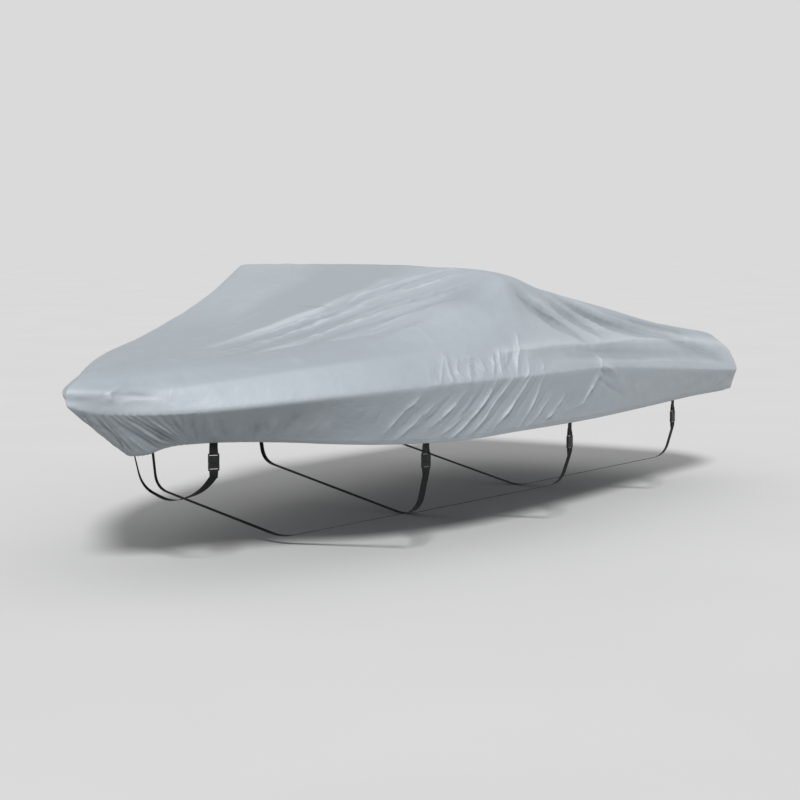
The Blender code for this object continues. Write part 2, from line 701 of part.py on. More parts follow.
def slot_cutters(bar_z, way, collection):
    """Slot beside a bar, and the slices that thin the buckle down to the bar. way 1 is up."""
    reach = BUCKLE_WIDTH
    inner = bar_z - way * (BAR / 2)
    low_z, high_z = sorted((inner, inner - way * SLOT))
    slot = box("slot", (-SLOT_WIDTH / 2, -reach, low_z), (SLOT_WIDTH / 2, reach, high_z), collection)
    thin_end = bar_z + way * BARS_CUT * BAR
    thin_low, thin_high = sorted((inner - way * THIN_SHARE * SLOT, thin_end))
    front = box("front", (-reach, BAR / 2, thin_low), (reach, reach, thin_high), collection)
    back = box("back", (-reach, -reach, thin_low), (reach, -BAR / 2, thin_high), collection)
    return [slot, front, back]


def socket_mesh(cutters):
    half = BUCKLE_WIDTH / 2
    deep = BUCKLE_DEPTH / 2
    body = rounded_block("socket", (-half, -deep, 0.0), (half, deep, SOCKET), cutters)
    thick = POCKET_THICK / 2
    pocket = box(
        "mouth", (-POCKET_HALF, -thick, -MOUTH_OPEN), (POCKET_HALF, thick, POCKET_DEEP), cutters
    )
    window = WINDOW_SHARE * deep
    windows = symmetric_boxes(
        "window", (WINDOW_IN, -window, WINDOW_LOW), (2 * half, window, WINDOW_HIGH), cutters
    )
    combine(body, slot_cutters(BAR_ABOVE, 1, cutters) + [pocket] + windows, "DIFFERENCE")
    return finished_mesh(body, "socket")


def plug_mesh(cutters):
    half = BUCKLE_WIDTH / 2
    deep = BUCKLE_DEPTH / 2
    body = rounded_block("plug", (-half, -deep, -PLUG), (half, deep, -GAP), cutters)
    combine(body, slot_cutters(-BAR_BELOW, -1, cutters), "DIFFERENCE")
    thick = POCKET_THICK / 2 - GAP
    tongue = box(
        "tongue", (-TONGUE_HALF, -thick, -ROOT), (TONGUE_HALF, thick, POCKET_DEEP - GAP), cutters
    )
    arms = symmetric_boxes(
        "arm", (ARM_IN, -thick, -ROOT), (POCKET_HALF - GAP, thick, WINDOW_HIGH + ROOT), cutters
    )
    button = BUTTON_SHARE * thick
    buttons = symmetric_boxes(
        "button", (WINDOW_IN + ROOT, -button, WINDOW_LOW + GAP),
        (BUTTON_OUT, button, WINDOW_HIGH - GAP), cutters,
    )
    combine(body, [tongue] + arms + buttons, "UNION")
    return finished_mesh(body, "plug")


def place_buckle(station, meshes, collection):
    along, outward = station_axes(station, -1)
    joint = buckle_joint(station)
    for part, mesh in meshes.items():
        obj = bpy.data.objects.new(part + "_" + station.name, mesh)
        obj.location = joint
        obj.rotation_euler.z = math.atan2(along.y, along.x)
        collection.objects.link(obj)


def main():
    empty_scene()
    pieces = new_collection("boat cover")
    cutters = new_collection("cutters")
    cloth = make_cloth(pieces)
    bpy.context.view_layer.update()
    cloth_tree = BVHTree.FromObject(cloth, bpy.context.evaluated_depsgraph_get())
    buckle = {"socket": socket_mesh(cutters), "plug": plug_mesh(cutters)}
    for station in STATIONS:
        make_tab(station, cloth_tree, pieces)
        place_buckle(station, buckle, pieces)
        make_strap(station, cloth_tree, pieces)


main()
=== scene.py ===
"""Looks of the fitted boat cover: fine cloth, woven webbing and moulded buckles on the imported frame.

Metres. X runs from bow to stern, port is -Y, +Z is up. The origin is the underside of the cloth
at the middle of the windscreen ridge.
"""
import math
from collections import namedtuple
from itertools import cycle

import bmesh
import bpy
import numpy as np
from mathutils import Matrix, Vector


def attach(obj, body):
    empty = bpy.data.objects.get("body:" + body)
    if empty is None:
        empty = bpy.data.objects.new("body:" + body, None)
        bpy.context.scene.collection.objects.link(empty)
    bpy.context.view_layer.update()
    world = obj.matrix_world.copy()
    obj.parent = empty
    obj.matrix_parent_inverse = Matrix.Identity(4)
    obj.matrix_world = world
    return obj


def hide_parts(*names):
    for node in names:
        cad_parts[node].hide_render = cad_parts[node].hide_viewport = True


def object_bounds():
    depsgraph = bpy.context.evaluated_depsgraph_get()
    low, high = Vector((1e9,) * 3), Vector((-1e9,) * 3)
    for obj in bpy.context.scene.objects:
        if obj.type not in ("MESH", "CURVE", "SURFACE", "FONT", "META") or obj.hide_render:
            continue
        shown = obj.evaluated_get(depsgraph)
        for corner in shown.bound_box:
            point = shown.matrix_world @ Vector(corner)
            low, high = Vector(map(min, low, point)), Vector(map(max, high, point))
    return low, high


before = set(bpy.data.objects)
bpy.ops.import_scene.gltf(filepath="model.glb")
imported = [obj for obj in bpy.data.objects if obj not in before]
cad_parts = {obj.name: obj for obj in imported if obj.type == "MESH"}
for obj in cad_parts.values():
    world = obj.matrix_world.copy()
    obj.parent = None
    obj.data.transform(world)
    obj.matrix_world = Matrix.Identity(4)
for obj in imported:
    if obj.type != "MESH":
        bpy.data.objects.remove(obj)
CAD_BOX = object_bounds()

# ---- sizes shared with the solids
CLOTH = 0.002
GAP = 0.0003
SEAM_GAP = 0.0005
WEBBING_WIDTH = 0.038
WEBBING = 0.0018
SEWN = 0.045
EDGE_AIR = 0.0010
HANG_IN = 0.002
HANG_DROP = 0.008
SOCKET = 0.042
PLUG = 0.034
BAR = 0.0040

# Half sections of the stretched cloth from bow to stern, as in the solids.
Section = namedtuple(
    "Section",
    "name rail_x rail_y rail_z hem_x hem_y hem_z deck_x deck_y deck_z "
    "ridge_x ridge_y ridge_z spine_x spine_z ridge_soft deck_soft",
)
SECTIONS = [
    Section("stem", -2.343, .0, -.53, -1.935, .0, -.775, -2.35, .0, -.462,
            -2.26, .0, -.412, -2.18, -.392, .33, .33),
    Section("nose", -2.235, .06, -.562, -1.9, .05, -.772, -2.275, .09, -.477,
            -2.18, .065, -.412, -2.11, -.385, .33, .33),
    Section("bow cheek", -2.065, .2, -.577, -1.82, .12, -.741, -2.07, .21, -.482,
            -1.98, .165, -.39, -1.93, -.366, .33, .33),
    Section("bow flare", -1.86, .4, -.566, -1.66, .22, -.733, -1.83, .37, -.456,
            -1.76, .29, -.372, -1.69, -.35, .33, .33),
    Section("fore deck", -1.55, .62, -.54, -1.43, .4, -.742, -1.51, .55, -.417,
            -1.45, .45, -.352, -1.38, -.326, .33, .33),
    Section("fore cockpit", -1.15, .8, -.52, -1.08, .66, -.773, -1.12, .71, -.386,
            -1.06, .56, -.308, -1.02, -.27, .32, .33),
    Section("dash", -.68, .92, -.512, -.64, .84, -.791, -.65, .84, -.372,
            -.6, .65, -.193, -.57, -.162, .26, .33),
    Section("windscreen", -.1, 1.0, -.515, -.08, .94, -.786, -.08, .93, -.385,
            -.02, .775, -.008, .0, .0, .08, .3),
    Section("helm", .55, 1.03, -.52, .55, .965, -.792, .55, .955, -.4,
            .5, .755, -.108, .5, -.08, .28, .18),
    Section("cockpit", 1.3, 1.04, -.57, 1.3, .975, -.787, 1.28, .955, -.435,
            1.22, .79, -.236, 1.2, -.205, .3, .15),
    Section("quarter", 2.0, 1.04, -.625, 2.0, .975, -.78, 1.97, .945, -.475,
            1.92, .81, -.36, 1.86, -.331, .3, .15),
    Section("aft quarter", 2.44, 1.045, -.655, 2.425, .992, -.778, 2.42, .97, -.521,
            2.37, .85, -.42, 2.25, -.388, .3, .2),
    Section("corner", 2.6, .995, -.662, 2.585, .966, -.777, 2.6, .95, -.552,
            2.54, .82, -.434, 2.38, -.4, .3, .28),
    Section("transom", 2.665, .62, -.66, 2.64, .59, -.778, 2.66, .6, -.54,
            2.6, .52, -.428, 2.45, -.406, .3, .28),
    Section("transom mid", 2.67, .0, -.66, 2.645, .0, -.778, 2.665, .0, -.538,
            2.61, .0, -.425, 2.48, -.408, .3, .28),
]
HEM, RAIL, DECK, RIDGE, SPINE = range(5)
WINDSCREEN = [q.name for q in SECTIONS].index("windscreen")
BENT_LINES = ("ridge_z", "spine_z")
STEEPER = 1.4
RAIL_SOFT = 0.07
SLUMP_AT = 2.33
SLUMP_REACH = 0.42
SLUMP_DROP = 0.014
SLUMP_SOFT = 0.14

# ---- folds
# A fold has a height, below 0 for a trough, and a width, in millimetres in the tables. It runs through
# two or more places of the cloth: s metres along the rail from the stem, and g in the column, with
# 0 the hem, 1 the rail, 2 the deck, 3 the ridge and 4 the spine.
Fold = namedtuple("Fold", "height width places")


def fold_table(*rows):
    return [Fold(height / 1000, width / 1000, places) for height, width, *places in rows]


# broad folds of the stretched cloth
BROAD_FOLDS = fold_table(
    # gathers of the bow skirt, under the fine pleats
    (3, 16, (.06, .85), (.02, .4)),
    (-4, 15, (.1, .76), (.04, .18)),
    (5, 16, (.14, .8), (.08, .08)),
    (-5, 16, (.18, .82), (.23, .48), (.28, .06)),
    (6, 18, (.22, .86), (.27, .5), (.34, .06)),
    (-5, 16, (.27, .86), (.34, .5), (.42, .08)),
    (6, 18, (.33, .86), (.4, .5), (.48, .1)),
    (-5, 16, (.42, .86), (.47, .45), (.51, .12)),
    (6, 20, (.46, .85), (.5, .5), (.53, .14)),
    (-6, 18, (.52, .83), (.56, .12)),
    (5, 20, (.6, .8), (.66, .1)),
    (-5, 20, (.65, .76), (.72, .1)),
    (5, 22, (.75, .78), (.79, .1)),
    (-8, 22, (.85, .7), (.9, .1)),
    (7, 20, (.93, .75), (.97, .1)),
    (-6, 22, (1.05, .78), (1.03, .2)),
    (4, 30, (1.28, .75), (1.2, .15)),
    # drag folds of the side skirt
    (5.6, 19.8, (1.687, .84), (1.6, .58), (1.52, .215)),
    (-4.2, 18, (1.74, .75), (1.65, .45), (1.57, .15)),
    (4.2, 18, (1.79, .66), (1.69, .4), (1.61, .1)),
    (-5.6, 19.8, (1.89, .78), (1.79, .45), (1.7, .2)),
    (6.3, 19.8, (1.99, .81), (1.88, .53), (1.79, .27)),
    (-4.2, 16.2, (2.05, .78), (1.96, .52), (1.88, .3)),
    (3.5, 14.4, (2.04, .49), (1.925, .25), (1.84, .08)),
    (-5.6, 16.2, (2.13, .88), (2.04, .55), (1.94, .22)),
    (8.4, 18.9, (2.21, .96), (2.115, .58), (2.03, .3), (1.95, .08)),
    (-6.3, 16.2, (2.28, .95), (2.17, .6), (2.09, .32), (2.02, .1)),
    (7, 16.2, (2.34, .99), (2.23, .64), (2.15, .33), (2.09, .13)),
    (-5.6, 16.2, (2.41, .95), (2.29, .55), (2.2, .28), (2.13, .1)),
    (7, 16.2, (2.485, .94), (2.35, .45), (2.24, .11)),
    (-5.6, 16.2, (2.56, .95), (2.46, .5), (2.37, .15)),
    (6.3, 16.2, (2.625, .99), (2.55, .48), (2.47, .07)),
    (-3.5, 14.4, (2.68, .7), (2.59, .3)),
    (4.2, 16.2, (2.72, .58), (2.615, .215), (2.54, .08)),
    (5.6, 21.6, (2.88, .55), (2.7, .12)),
    (8.4, 23.4, (3.22, .95), (3.1, .3)),
    (-6.3, 23.4, (3.28, .85), (3.18, .3)),
    (4.2, 27, (3.46, .85), (3.62, .45)),
    # short upright wrinkles over the gunwale
    (4, 12, (1.89, 1.9), (1.84, 1.44), (1.79, 1.01)),
    (6, 13, (1.89, 1.8), (1.88, 1.27), (1.88, .99)),
    (-4, 12, (1.925, 1.75), (1.905, 1.32), (1.925, 1.01)),
    (5, 12, (1.965, 1.7), (1.935, 1.32), (1.976, 1.01)),
    (6, 13, (2.06, 1.76), (2.03, 1.35), (2.007, .98)),
    (-5, 13, (2.09, 1.7), (2.07, 1.3), (2.04, 1.02)),
    (6, 14, (2.13, 1.72), (2.13, 1.35), (2.09, 1.05)),
    (7, 14, (2.23, 1.75), (2.19, 1.14)),
    (-5, 14, (2.27, 1.8), (2.24, 1.4), (2.21, 1.08)),
    (6, 13, (2.3, 1.89), (2.27, 1.52), (2.26, 1.09)),
    (-6, 15, (2.42, 1.9), (2.35, 1.5), (2.31, 1.05)),
    (10, 15, (2.49, 2.13), (2.43, 1.64), (2.37, .99)),
    (6, 14, (2.52, 1.57), (2.48, 1.12), (2.43, .91)),
    (4, 14, (2.645, 1.45), (2.6, 1.01)),
    (8, 22, (3.27, 1.55), (3.22, .98)),
    (7, 18, (3.24, 1.15), (3.42, .88)),
    # long tension folds from the fore deck up to the windscreen's corner
    (15.3, 40.1, (.9, 3.78), (1.25, 3.82), (1.62, 3.78), (1.9, 3.72), (2.3, 3.68)),
    (-10.7, 21.5, (.86, 3.6), (1.25, 3.67), (1.61, 3.635), (1.87, 3.58), (2.13, 3.58), (2.44, 3.46)),
    (8.4, 20, (.78, 3.42), (1.07, 3.53), (1.41, 3.57), (1.62, 3.545), (1.8, 3.52), (2.03, 3.5),
     (2.22, 3.46), (2.44, 3.36)),
    (-10.7, 21.5, (.8, 3.24), (1.14, 3.4), (1.41, 3.45), (1.66, 3.43), (1.86, 3.39), (2.14, 3.31),
     (2.42, 3.2)),
    (9.1, 20, (.9, 3.24), (1.12, 3.27), (1.3, 3.285), (1.52, 3.33), (1.78, 3.25), (1.95, 3.205),
     (2.1, 3.175), (2.36, 3.12)),
    (-7.6, 20, (.96, 3.14), (1.28, 3.15), (1.54, 3.19), (1.75, 3.14), (1.9, 3.11), (2.12, 3.08),
     (2.34, 3.05)),
    (7.6, 18.5, (1.36, 3.12), (1.65, 3.02), (1.88, 2.985), (2.14, 2.96)),
    (-7.6, 20, (1.4, 2.98), (1.62, 2.9), (1.78, 2.85), (2.02, 2.86)),
    (-4.3, 21.6, (1.84, 4), (1.855, 3.89), (1.84, 3.66)),
    # the soft corner of the windscreen and the drapes that fall aft from it
    (-10, 120, (2.05, 3), (2.55, 3)),
    (-8, 30, (2.595, 2.89), (2.635, 2.73), (2.74, 2.58), (2.8, 2.43)),
    (20, 34, (2.66, 2.86), (2.79, 2.67), (2.93, 2.57), (3.05, 2.48), (3.2, 2.32), (3.36, 2.08)),
    (-26, 34, (2.66, 2.66), (2.8, 2.53), (2.92, 2.41), (3.03, 2.3), (3.16, 2.16), (3.28, 1.94)),
    (18, 30, (3.06, 2.8), (3.155, 2.68), (3.3, 2.58), (3.42, 2.44), (3.6, 2.27), (3.74, 2.14)),
    (-16, 30, (3.08, 2.66), (3.17, 2.53), (3.29, 2.4), (3.41, 2.23), (3.54, 2.06)),
    (20, 36, (3.28, 2.98), (3.36, 2.88), (3.5, 2.76), (3.68, 2.65), (3.92, 2.54), (4.18, 2.45),
     (4.52, 2.32)),
    (-28, 36, (3.24, 2.94), (3.3, 2.8), (3.45, 2.62), (3.62, 2.47), (3.8, 2.38), (4.05, 2.26),
     (4.3, 2.14), (4.58, 2.02)),
    (-10, 34, (4.05, 2.66), (4.2, 2.69), (4.5, 2.71), (4.8, 2.7)),
    (-20, 36, (4.3, 2.2), (4.44, 2.09), (4.66, 1.83), (4.8, 1.6), (4.98, 1.42)),
    (12, 40, (4.46, 2.34), (4.72, 2.08), (4.96, 1.76)),
    # the rise over the bow fitting and the hollow behind it
    (5, 20, (.22, 2.4), (.19, 2.04), (.201, 1.58)),
    (-6.2, 24.2, (.216, 1.76), (.3, 1.86), (.385, 1.72), (.45, 1.4)),
    (3.7, 22, (.215, 1.48), (.318, 1.62), (.4, 1.5), (.455, 1.18)),
    # the side falls steeply from the coaming and flares out again over the gunwale
    (-16, 42, (2.6, 1.6), (3.6, 1.58), (4.95, 1.55)),
    (18, 36, (2.28, 1.84), (2.5, 1.85), (2.82, 1.9), (3.27, 1.93), (3.8, 2.02), (4.34, 2.1), (5.1, 2.04)),
    (-14, 70, (2.95, 2.46), (3.5, 2.46), (4.1, 2.44), (4.8, 2.42)),
    (5, 18, (2.8, 1.32), (3.24, 1.225), (3.685, 1.22), (4.28, 1.28), (4.9, 1.17)),
    # shallow sags of the cockpit and the stern
    (-12, 160, (3.4, 3.8), (4.6, 3.75)),
    (10, 40, (5.05, 2.3), (5.2, 1.2)),
    (6, 24, (5.45, .9), (5.43, .1)),
    (-6, 24, (5.62, .9), (5.66, .1)),
    (6, 26, (5.85, .9), (5.83, .15)),
)
# pleats of the gathered bow, sewn down to the hem's elastic
BOW_PLEATS = fold_table(
    (-6.3, 4.8, (.053, .9), (.03, .75), (0, .55)),
    (-7.5, 5, (.105, .92), (.081, .48), (.053, .27), (.004, .1)),
    (-8.1, 5.2, (.15, .94), (.091, .35), (.071, .06)),
    (-7.5, 5, (.185, .95), (.216, .48), (.255, .23), (.29, .04)),
    (-8.1, 5, (.212, .97), (.256, .51), (.302, .23), (.35, .04)),
    (-8.1, 5.2, (.248, .98), (.297, .56), (.35, .23), (.402, .05)),
    (-8.8, 5.2, (.275, .98), (.328, .59), (.385, .265), (.441, .06)),
    (-8.1, 5.2, (.306, .98), (.358, .63), (.408, .355), (.465, .07)),
    (-8.1, 5.2, (.345, .98), (.39, .63), (.436, .33), (.494, .08)),
    (-7.5, 5.4, (.396, .97), (.432, .53), (.474, .16)),
    (-6.9, 5.6, (.437, .96), (.462, .61), (.496, .18)),
    (-6.3, 5.8, (.481, .94), (.494, .54), (.515, .14)),
    (-5.7, 6, (.532, .92), (.537, .48), (.55, .07)),
    (-5, 6.4, (.574, .88), (.595, .46), (.604, .07)),
    (-4.2, 7.5, (.645, .8), (.683, .43), (.73, .08)),
)
# sharp crests of the drag folds
DRAG_CREASES = fold_table(
    (3.8, 7.2, (1.687, .86), (1.6, .58), (1.52, .18)),
    (3.8, 6.7, (1.79, .7), (1.69, .4), (1.6, .08)),
    (2.9, 6.3, (1.86, .8), (1.8, .6), (1.75, .42)),
    (4.7, 6.7, (1.99, .84), (1.88, .53), (1.78, .24)),
    (3.4, 6.3, (2.04, .52), (1.925, .25), (1.83, .06)),
    (2.9, 5.9, (2.1, .92), (2.05, .74), (1.99, .52)),
    (6.1, 6.7, (2.21, .98), (2.115, .58), (2.03, .3), (1.94, .05)),
    (4.7, 6.7, (2.34, 1.01), (2.23, .64), (2.15, .33), (2.08, .1)),
    (-3.2, 5.9, (2.3, .9), (2.21, .6), (2.12, .24)),
    (4.7, 6.3, (2.51, 1.04), (2.4, .595), (2.305, .31)),
    (4.7, 6.7, (2.47, .93), (2.35, .45), (2.23, .08)),
    (4.9, 6.7, (2.625, 1), (2.55, .48), (2.465, .05)),
    (3.8, 7.2, (2.72, .6), (2.615, .215), (2.53, .06)),
    (4.9, 7.2, (2.88, .58), (2.8, .34), (2.71, .12)),
    (3.2, 6.7, (2.915, .46), (2.85, .24), (2.8, .1)),
    (1.7, 9.9, (2.98, .8), (2.9, .25)),
)
# short sharp wrinkles over the gunwale
GUNWALE_WRINKLES = fold_table(
    (2.6, 6, (1.765, 1.6), (1.735, 1.1)),
    (4.4, 5.5, (1.89, 1.92), (1.84, 1.44), (1.79, 1)),
    (3.4, 5.5, (1.785, 1.42), (1.776, .97)),
    (5, 5.5, (1.892, 1.8), (1.88, 1.27), (1.88, .97)),
    (4.4, 5, (1.965, 1.72), (1.935, 1.32), (1.976, .99)),
    (4.6, 5.5, (2.007, 1.7), (2.045, 1.74), (2.085, 1.68), (2.11, 1.4)),
    (4.6, 5.5, (2.02, 1.42), (2.007, .95)),
    (3.6, 5.5, (2.095, 1.5), (2.14, 1.19)),
    (-3.6, 5.5, (2.165, 1.62), (2.16, 1.2)),
    (5.4, 5.5, (2.235, 1.74), (2.19, 1.1)),
    (5, 5.5, (2.3, 1.92), (2.27, 1.52), (2.26, 1.06)),
    (-3.4, 5.5, (2.33, 1.66), (2.31, 1.2)),
    (3.6, 6, (2.36, 1.86), (2.33, 1.4)),
    (7.2, 6, (2.495, 2.16), (2.43, 1.64), (2.37, .97)),
    (5, 5.8, (2.525, 1.6), (2.48, 1.12), (2.43, .89)),
    (4, 6.5, (2.648, 1.4), (2.6, .99)),
    (1.8, 8, (2.76, 1.36), (2.73, 1.02)),
    (2.2, 6, (1.497, 1.34), (1.5, .99)),
)
# thin creases elsewhere
OTHER_CREASES = fold_table(
    # lone creases of the forward skirt
    (-4, 6.5, (.825, .6), (.853, .19)),
    (-5.2, 6, (.85, .62), (.895, .07)),
    (-5, 6, (.89, .6), (.956, .14)),
    (-3.4, 6.5, (1.012, .86), (1.03, .3)),
    (-3, 7, (1.382, .64), (1.37, .35)),
    (-3, 7, (1.47, .72), (1.46, .43), (1.472, .26)),
    (2.2, 8, (1.18, .66), (1.15, .22)),
    # the small star of creases at the middle strap
    (6.2, 7, (3.19, 1.16), (3.28, 1.01), (3.42, .84)),
    (4, 7, (3.22, 1.49), (3.335, 1.35)),
    (-5.4, 8, (3.18, 1.08), (3.25, .89), (3.41, .72)),
    (-4.4, 10, (3.23, .76), (3.41, .56), (3.6, .34)),
    (6.2, 7.5, (3.265, 1.56), (3.24, 1.2), (3.205, .74)),
    (6.6, 8.5, (3.18, 1.08), (3.19, .745), (3.13, .53), (3.08, .315), (2.91, .24)),
    (4, 8, (2.7, .15), (2.83, .28)),
    (3.6, 8, (3.12, 1.62), (3.4, 1.46)),
    (-2.8, 8, (3.14, 1.72), (3.44, 1.6)),
    (2, 12, (3.56, .8), (3.76, .42)),
    (-2.6, 10, (4.95, .9), (4.93, .2)),
    (2.8, 9, (5.08, .92), (5.09, .15)),
    # thin lines on the tension folds of the fore deck
    (11.4, 7.8, (.9, 3.65), (1.25, 3.72), (1.615, 3.68), (1.86, 3.6), (2.12, 3.64), (2.42, 3.5),
     (2.52, 3.32)),
    (9.9, 7.8, (.7, 3.24), (1.07, 3.45), (1.41, 3.54), (1.56, 3.5), (1.76, 3.49), (2, 3.44)),
    (8.7, 7.8, (2.02, 3.45), (2.22, 3.4), (2.41, 3.31), (2.49, 3.21)),
    (-9.1, 7.8, (.93, 3.58), (1.28, 3.62), (1.585, 3.585), (1.8, 3.54)),
    (-7.9, 7.1, (2.03, 3.55), (2.15, 3.52), (2.33, 3.51), (2.48, 3.39)),
    (-9.9, 7.8, (1.14, 3.34), (1.41, 3.355), (1.66, 3.365), (1.86, 3.3), (2.14, 3.21), (2.4, 3.1)),
    (9.1, 7.8, (.94, 3.2), (1.12, 3.21), (1.295, 3.22), (1.53, 3.3)),
    (9.1, 7.8, (1.74, 3.18), (1.925, 3.14), (2.085, 3.13), (2.27, 3.1)),
    (-9.1, 7.8, (1.62, 3.08), (1.88, 3.08), (2.11, 3.03), (2.26, 3.02)),
    (9.1, 7.8, (1.41, 3.08), (1.635, 2.94), (1.79, 2.89), (2, 2.9)),
    (-5.9, 8.6, (1.57, 2.86), (1.68, 2.76), (1.94, 2.81)),
    (-7.9, 6.4, (1.84, 4), (1.855, 3.89), (1.84, 3.66)),
    (3.2, 8.6, (1.39, 1.9), (1.51, 2.45), (1.66, 2.725), (1.86, 2.7), (1.89, 2.28), (2.06, 2.3)),
    # creases along the aft drapes
    (12, 11.4, (2.72, 2.68), (2.87, 2.52), (2.99, 2.435), (3.09, 2.32), (3.2, 2.17), (3.29, 1.97)),
    (-7.2, 10.4, (2.8, 2.46), (2.96, 2.3), (3.1, 2.175), (3.23, 1.94)),
    (-6, 10.4, (2.8, 2.7), (2.98, 2.58), (3.15, 2.44), (3.3, 2.27), (3.47, 2.09)),
    (9.1, 10.4, (3.15, 2.65), (3.28, 2.52), (3.36, 2.36), (3.47, 2.25), (3.61, 2.11)),
    (-6, 10.4, (3.12, 2.76), (3.32, 2.64), (3.48, 2.52), (3.77, 2.28)),
    (14.4, 11.4, (3.29, 2.92), (3.39, 2.76), (3.53, 2.63), (3.76, 2.5), (4.01, 2.35), (4.29, 2.22),
     (4.57, 2.08)),
    (-7.2, 11.4, (3.36, 2.88), (3.58, 2.745), (3.82, 2.64), (4.14, 2.66), (4.5, 2.68)),
    (4.8, 11.4, (4.12, 2.7), (4.5, 2.74), (4.76, 2.72)),
    (9.1, 10.4, (4.38, 2.14), (4.65, 1.845), (4.79, 1.62), (4.94, 1.46)),
    (7.2, 10.4, (2.59, 2.91), (2.635, 2.73), (2.74, 2.61), (2.84, 2.41)),
    (3.1, 11.4, (4.7, 3), (5.16, 2.1)),
    # the coaming's edge under the cloth
    (5, 11, (2.28, 1.82), (2.45, 1.825), (2.82, 1.88), (3.27, 1.9), (3.8, 2.02), (4.36, 2.12)),
    (2.8, 10, (2.83, 1.31), (3.24, 1.225), (3.685, 1.22), (4.28, 1.28), (4.86, 1.17)),
    # the rise over the bow fitting and the creases that run back from it
    (3.4, 10, (.165, 1.92), (.184, 2.02), (.21, 2.25), (.246, 2.57)),
    (4, 8, (.184, 2.02), (.194, 1.8), (.202, 1.56)),
    (-5, 9, (.2, 1.94), (.294, 1.91), (.375, 1.74)),
    (3, 9, (.203, 1.54), (.318, 1.72), (.405, 1.6), (.464, 1.22)),
)
FAR_SHIFT = 0.035  # the starboard folds lie this much further aft
FAR_STRENGTHS = (0.9, 0.6, 0.8, 0.5, 1.0)  # and are this high, in turn, as a share of the port ones
FAR_SMOOTH = 0.15  # where the starboard side is almost smooth: on the fore deck and over the bow
FORE_DECK_END = 2.60
BOW_RISE_END = 0.50

# ---- tie-down stations
# s along the rail, yaw of the strap in degrees, hang of the tab, and the strap's side and lowest bends
Station = namedtuple("Station", "name s yaw hang chine_y chine_z keel_z")
STATIONS = [
    Station("bow", 0.66, 36.0, 0.050, 0.165, -0.950, -1.010),
    Station("fore", 1.79, 21.0, 0.043, 0.750, -1.100, -1.285),
    Station("middle", 3.01, 3.0, 0.060, 0.905, -1.100, -1.330),
    Station("aft", 4.32, 0.0, 0.055, 0.920, -1.095, -1.330),
]
CALM = 0.075
CHINE_BEND = 0.070
SEWN_AIR = 0.0006
BAR_REACH = 0.026
BAR_ABOVE = SOCKET - BAR / 2
BAR_BELOW = PLUG - BAR / 2
STRAP_STEP = 0.012
TAB_STEP = 0.006
SELVEDGE = ((0.0, 0.0), (0.0004, 0.75), (0.0011, 1.0))  # inward, and height in half thicknesses
UP = np.array((0.0, 0.0, 1.0))

# ---- relief and mesh of the cloth
TIP = 0.25  # rounding of a crest, in widths of its fold
FOOT = 0.62  # how fast its feet fade, in widths
REACH = 3.5  # how far a fold is felt, in widths
WANDER = 0.0035  # most that a thin fold strays from its line
GATHERS = 0.0011
GATHERS_FADE = 0.040  # height over the hem at which the gathers have mostly gone
LOOSE = 0.0010
RIPPLE = 0.00035
NORMAL_STEP = 0.004
GIRTH_GRID = (240, 80)
COLUMN_STEPS = ((0.70, 0.0130), (1.50, 0.0250), (2.75, 0.0210), (5.00, 0.0290), (6.40, 0.0340))
RUN_STEPS = (12, 8, 16, 22)
SPLITS = 3  # passes that halve the mesh at the creases
THIN = 0.0165  # folds narrower than this get a finer mesh
CREASE_REACH = 1.15  # how far from a crease the mesh is finer, in widths of the crease
CREASE_EDGE = 0.95  # longest edge left there, in widths of the crease
LEAST_EDGE = 0.0062
MOST_EDGE = 0.0140
HEM_TURN = 0.00085  # half thickness of the turned hem
HEM_BAND = 0.024  # height of the band that is turned in
HOLLOW = 0.010  # depth at which the painted shade in a fold's hollow is at its darkest

# ---- colours and faces
CLOTH_LIGHT = (0.236, 0.265, 0.290)
CLOTH_DARK = (0.215, 0.243, 0.267)
CLOTH_MARK = (0.182, 0.205, 0.225)
# painted shade of the cloth on the fore deck, the skirt, the crown and the steep side aft
CLOTH_SHADED = (0.193, 0.221, 0.243)
# pale wear at the rail, also used as painted highlight on the shelf, the nose and the folds' crests
CLOTH_WEAR_AND_HIGHLIGHT = (0.327, 0.355, 0.377)
# painted shade in the hollows of the folds
CLOTH_CREASE_SHADE = (0.118, 0.135, 0.150)
THREAD = (0.200, 0.215, 0.228)
# how strong the painted shade in the hollows and on the steep side aft is, and the painted highlights on
# the crests, the nose and the shelf; the nose's drop moves where the painted shade starts round the nose
CREASE_SHADE_TONE = 0.40
CREST_HIGHLIGHT_TONE = 0.45
TOP_CREST_HIGHLIGHT_TONE = 0.80
NOSE_HIGHLIGHT_TONE = 0.55
NOSE_DROP = 0.60
STEEP_SHADE_TONE = 0.55
SHELF_HIGHLIGHT_TONE = 0.30
HEM_STITCHES = (0.0190, 0.0240)
STITCH_PITCH = 0.0042
BOX_MIDDLE = 0.0270
BOX_HALF_HEIGHT = 0.0150
BOX_HALF_WIDTH = 0.0150
WEAVE_PITCH = 0.00085
RIB_PITCH = 0.0032
PICK_PITCH = 0.0014
WEBBING_DARK = (0.0035, 0.0040, 0.0038)
WEBBING_LIGHT = (0.011, 0.012, 0.0115)
WEBBING_DUST = (0.026, 0.027, 0.026)
PLASTIC_DARK = (0.005, 0.0055, 0.0055)
PLASTIC_LIGHT = (0.010, 0.0105, 0.0105)

# ---- light, floor and camera
SKY = 0.70
KEY_FROM = (-0.700, -0.440, 0.560)
KEY_POWER = 4.6
KEY_SPREAD = 10.0
FLOOR_Z = CAD_BOX[0].z - 0.004
FLOOR_SHADE = 0.460
FLOOR_RINGS = (5.0, 20.0, 80.0, 400.0)
CAMERA_AT = Vector((-8.465, -5.173, 0.243))
CAMERA_TO = Vector((0.862, 0.507, -0.094))
LENS = 88.0


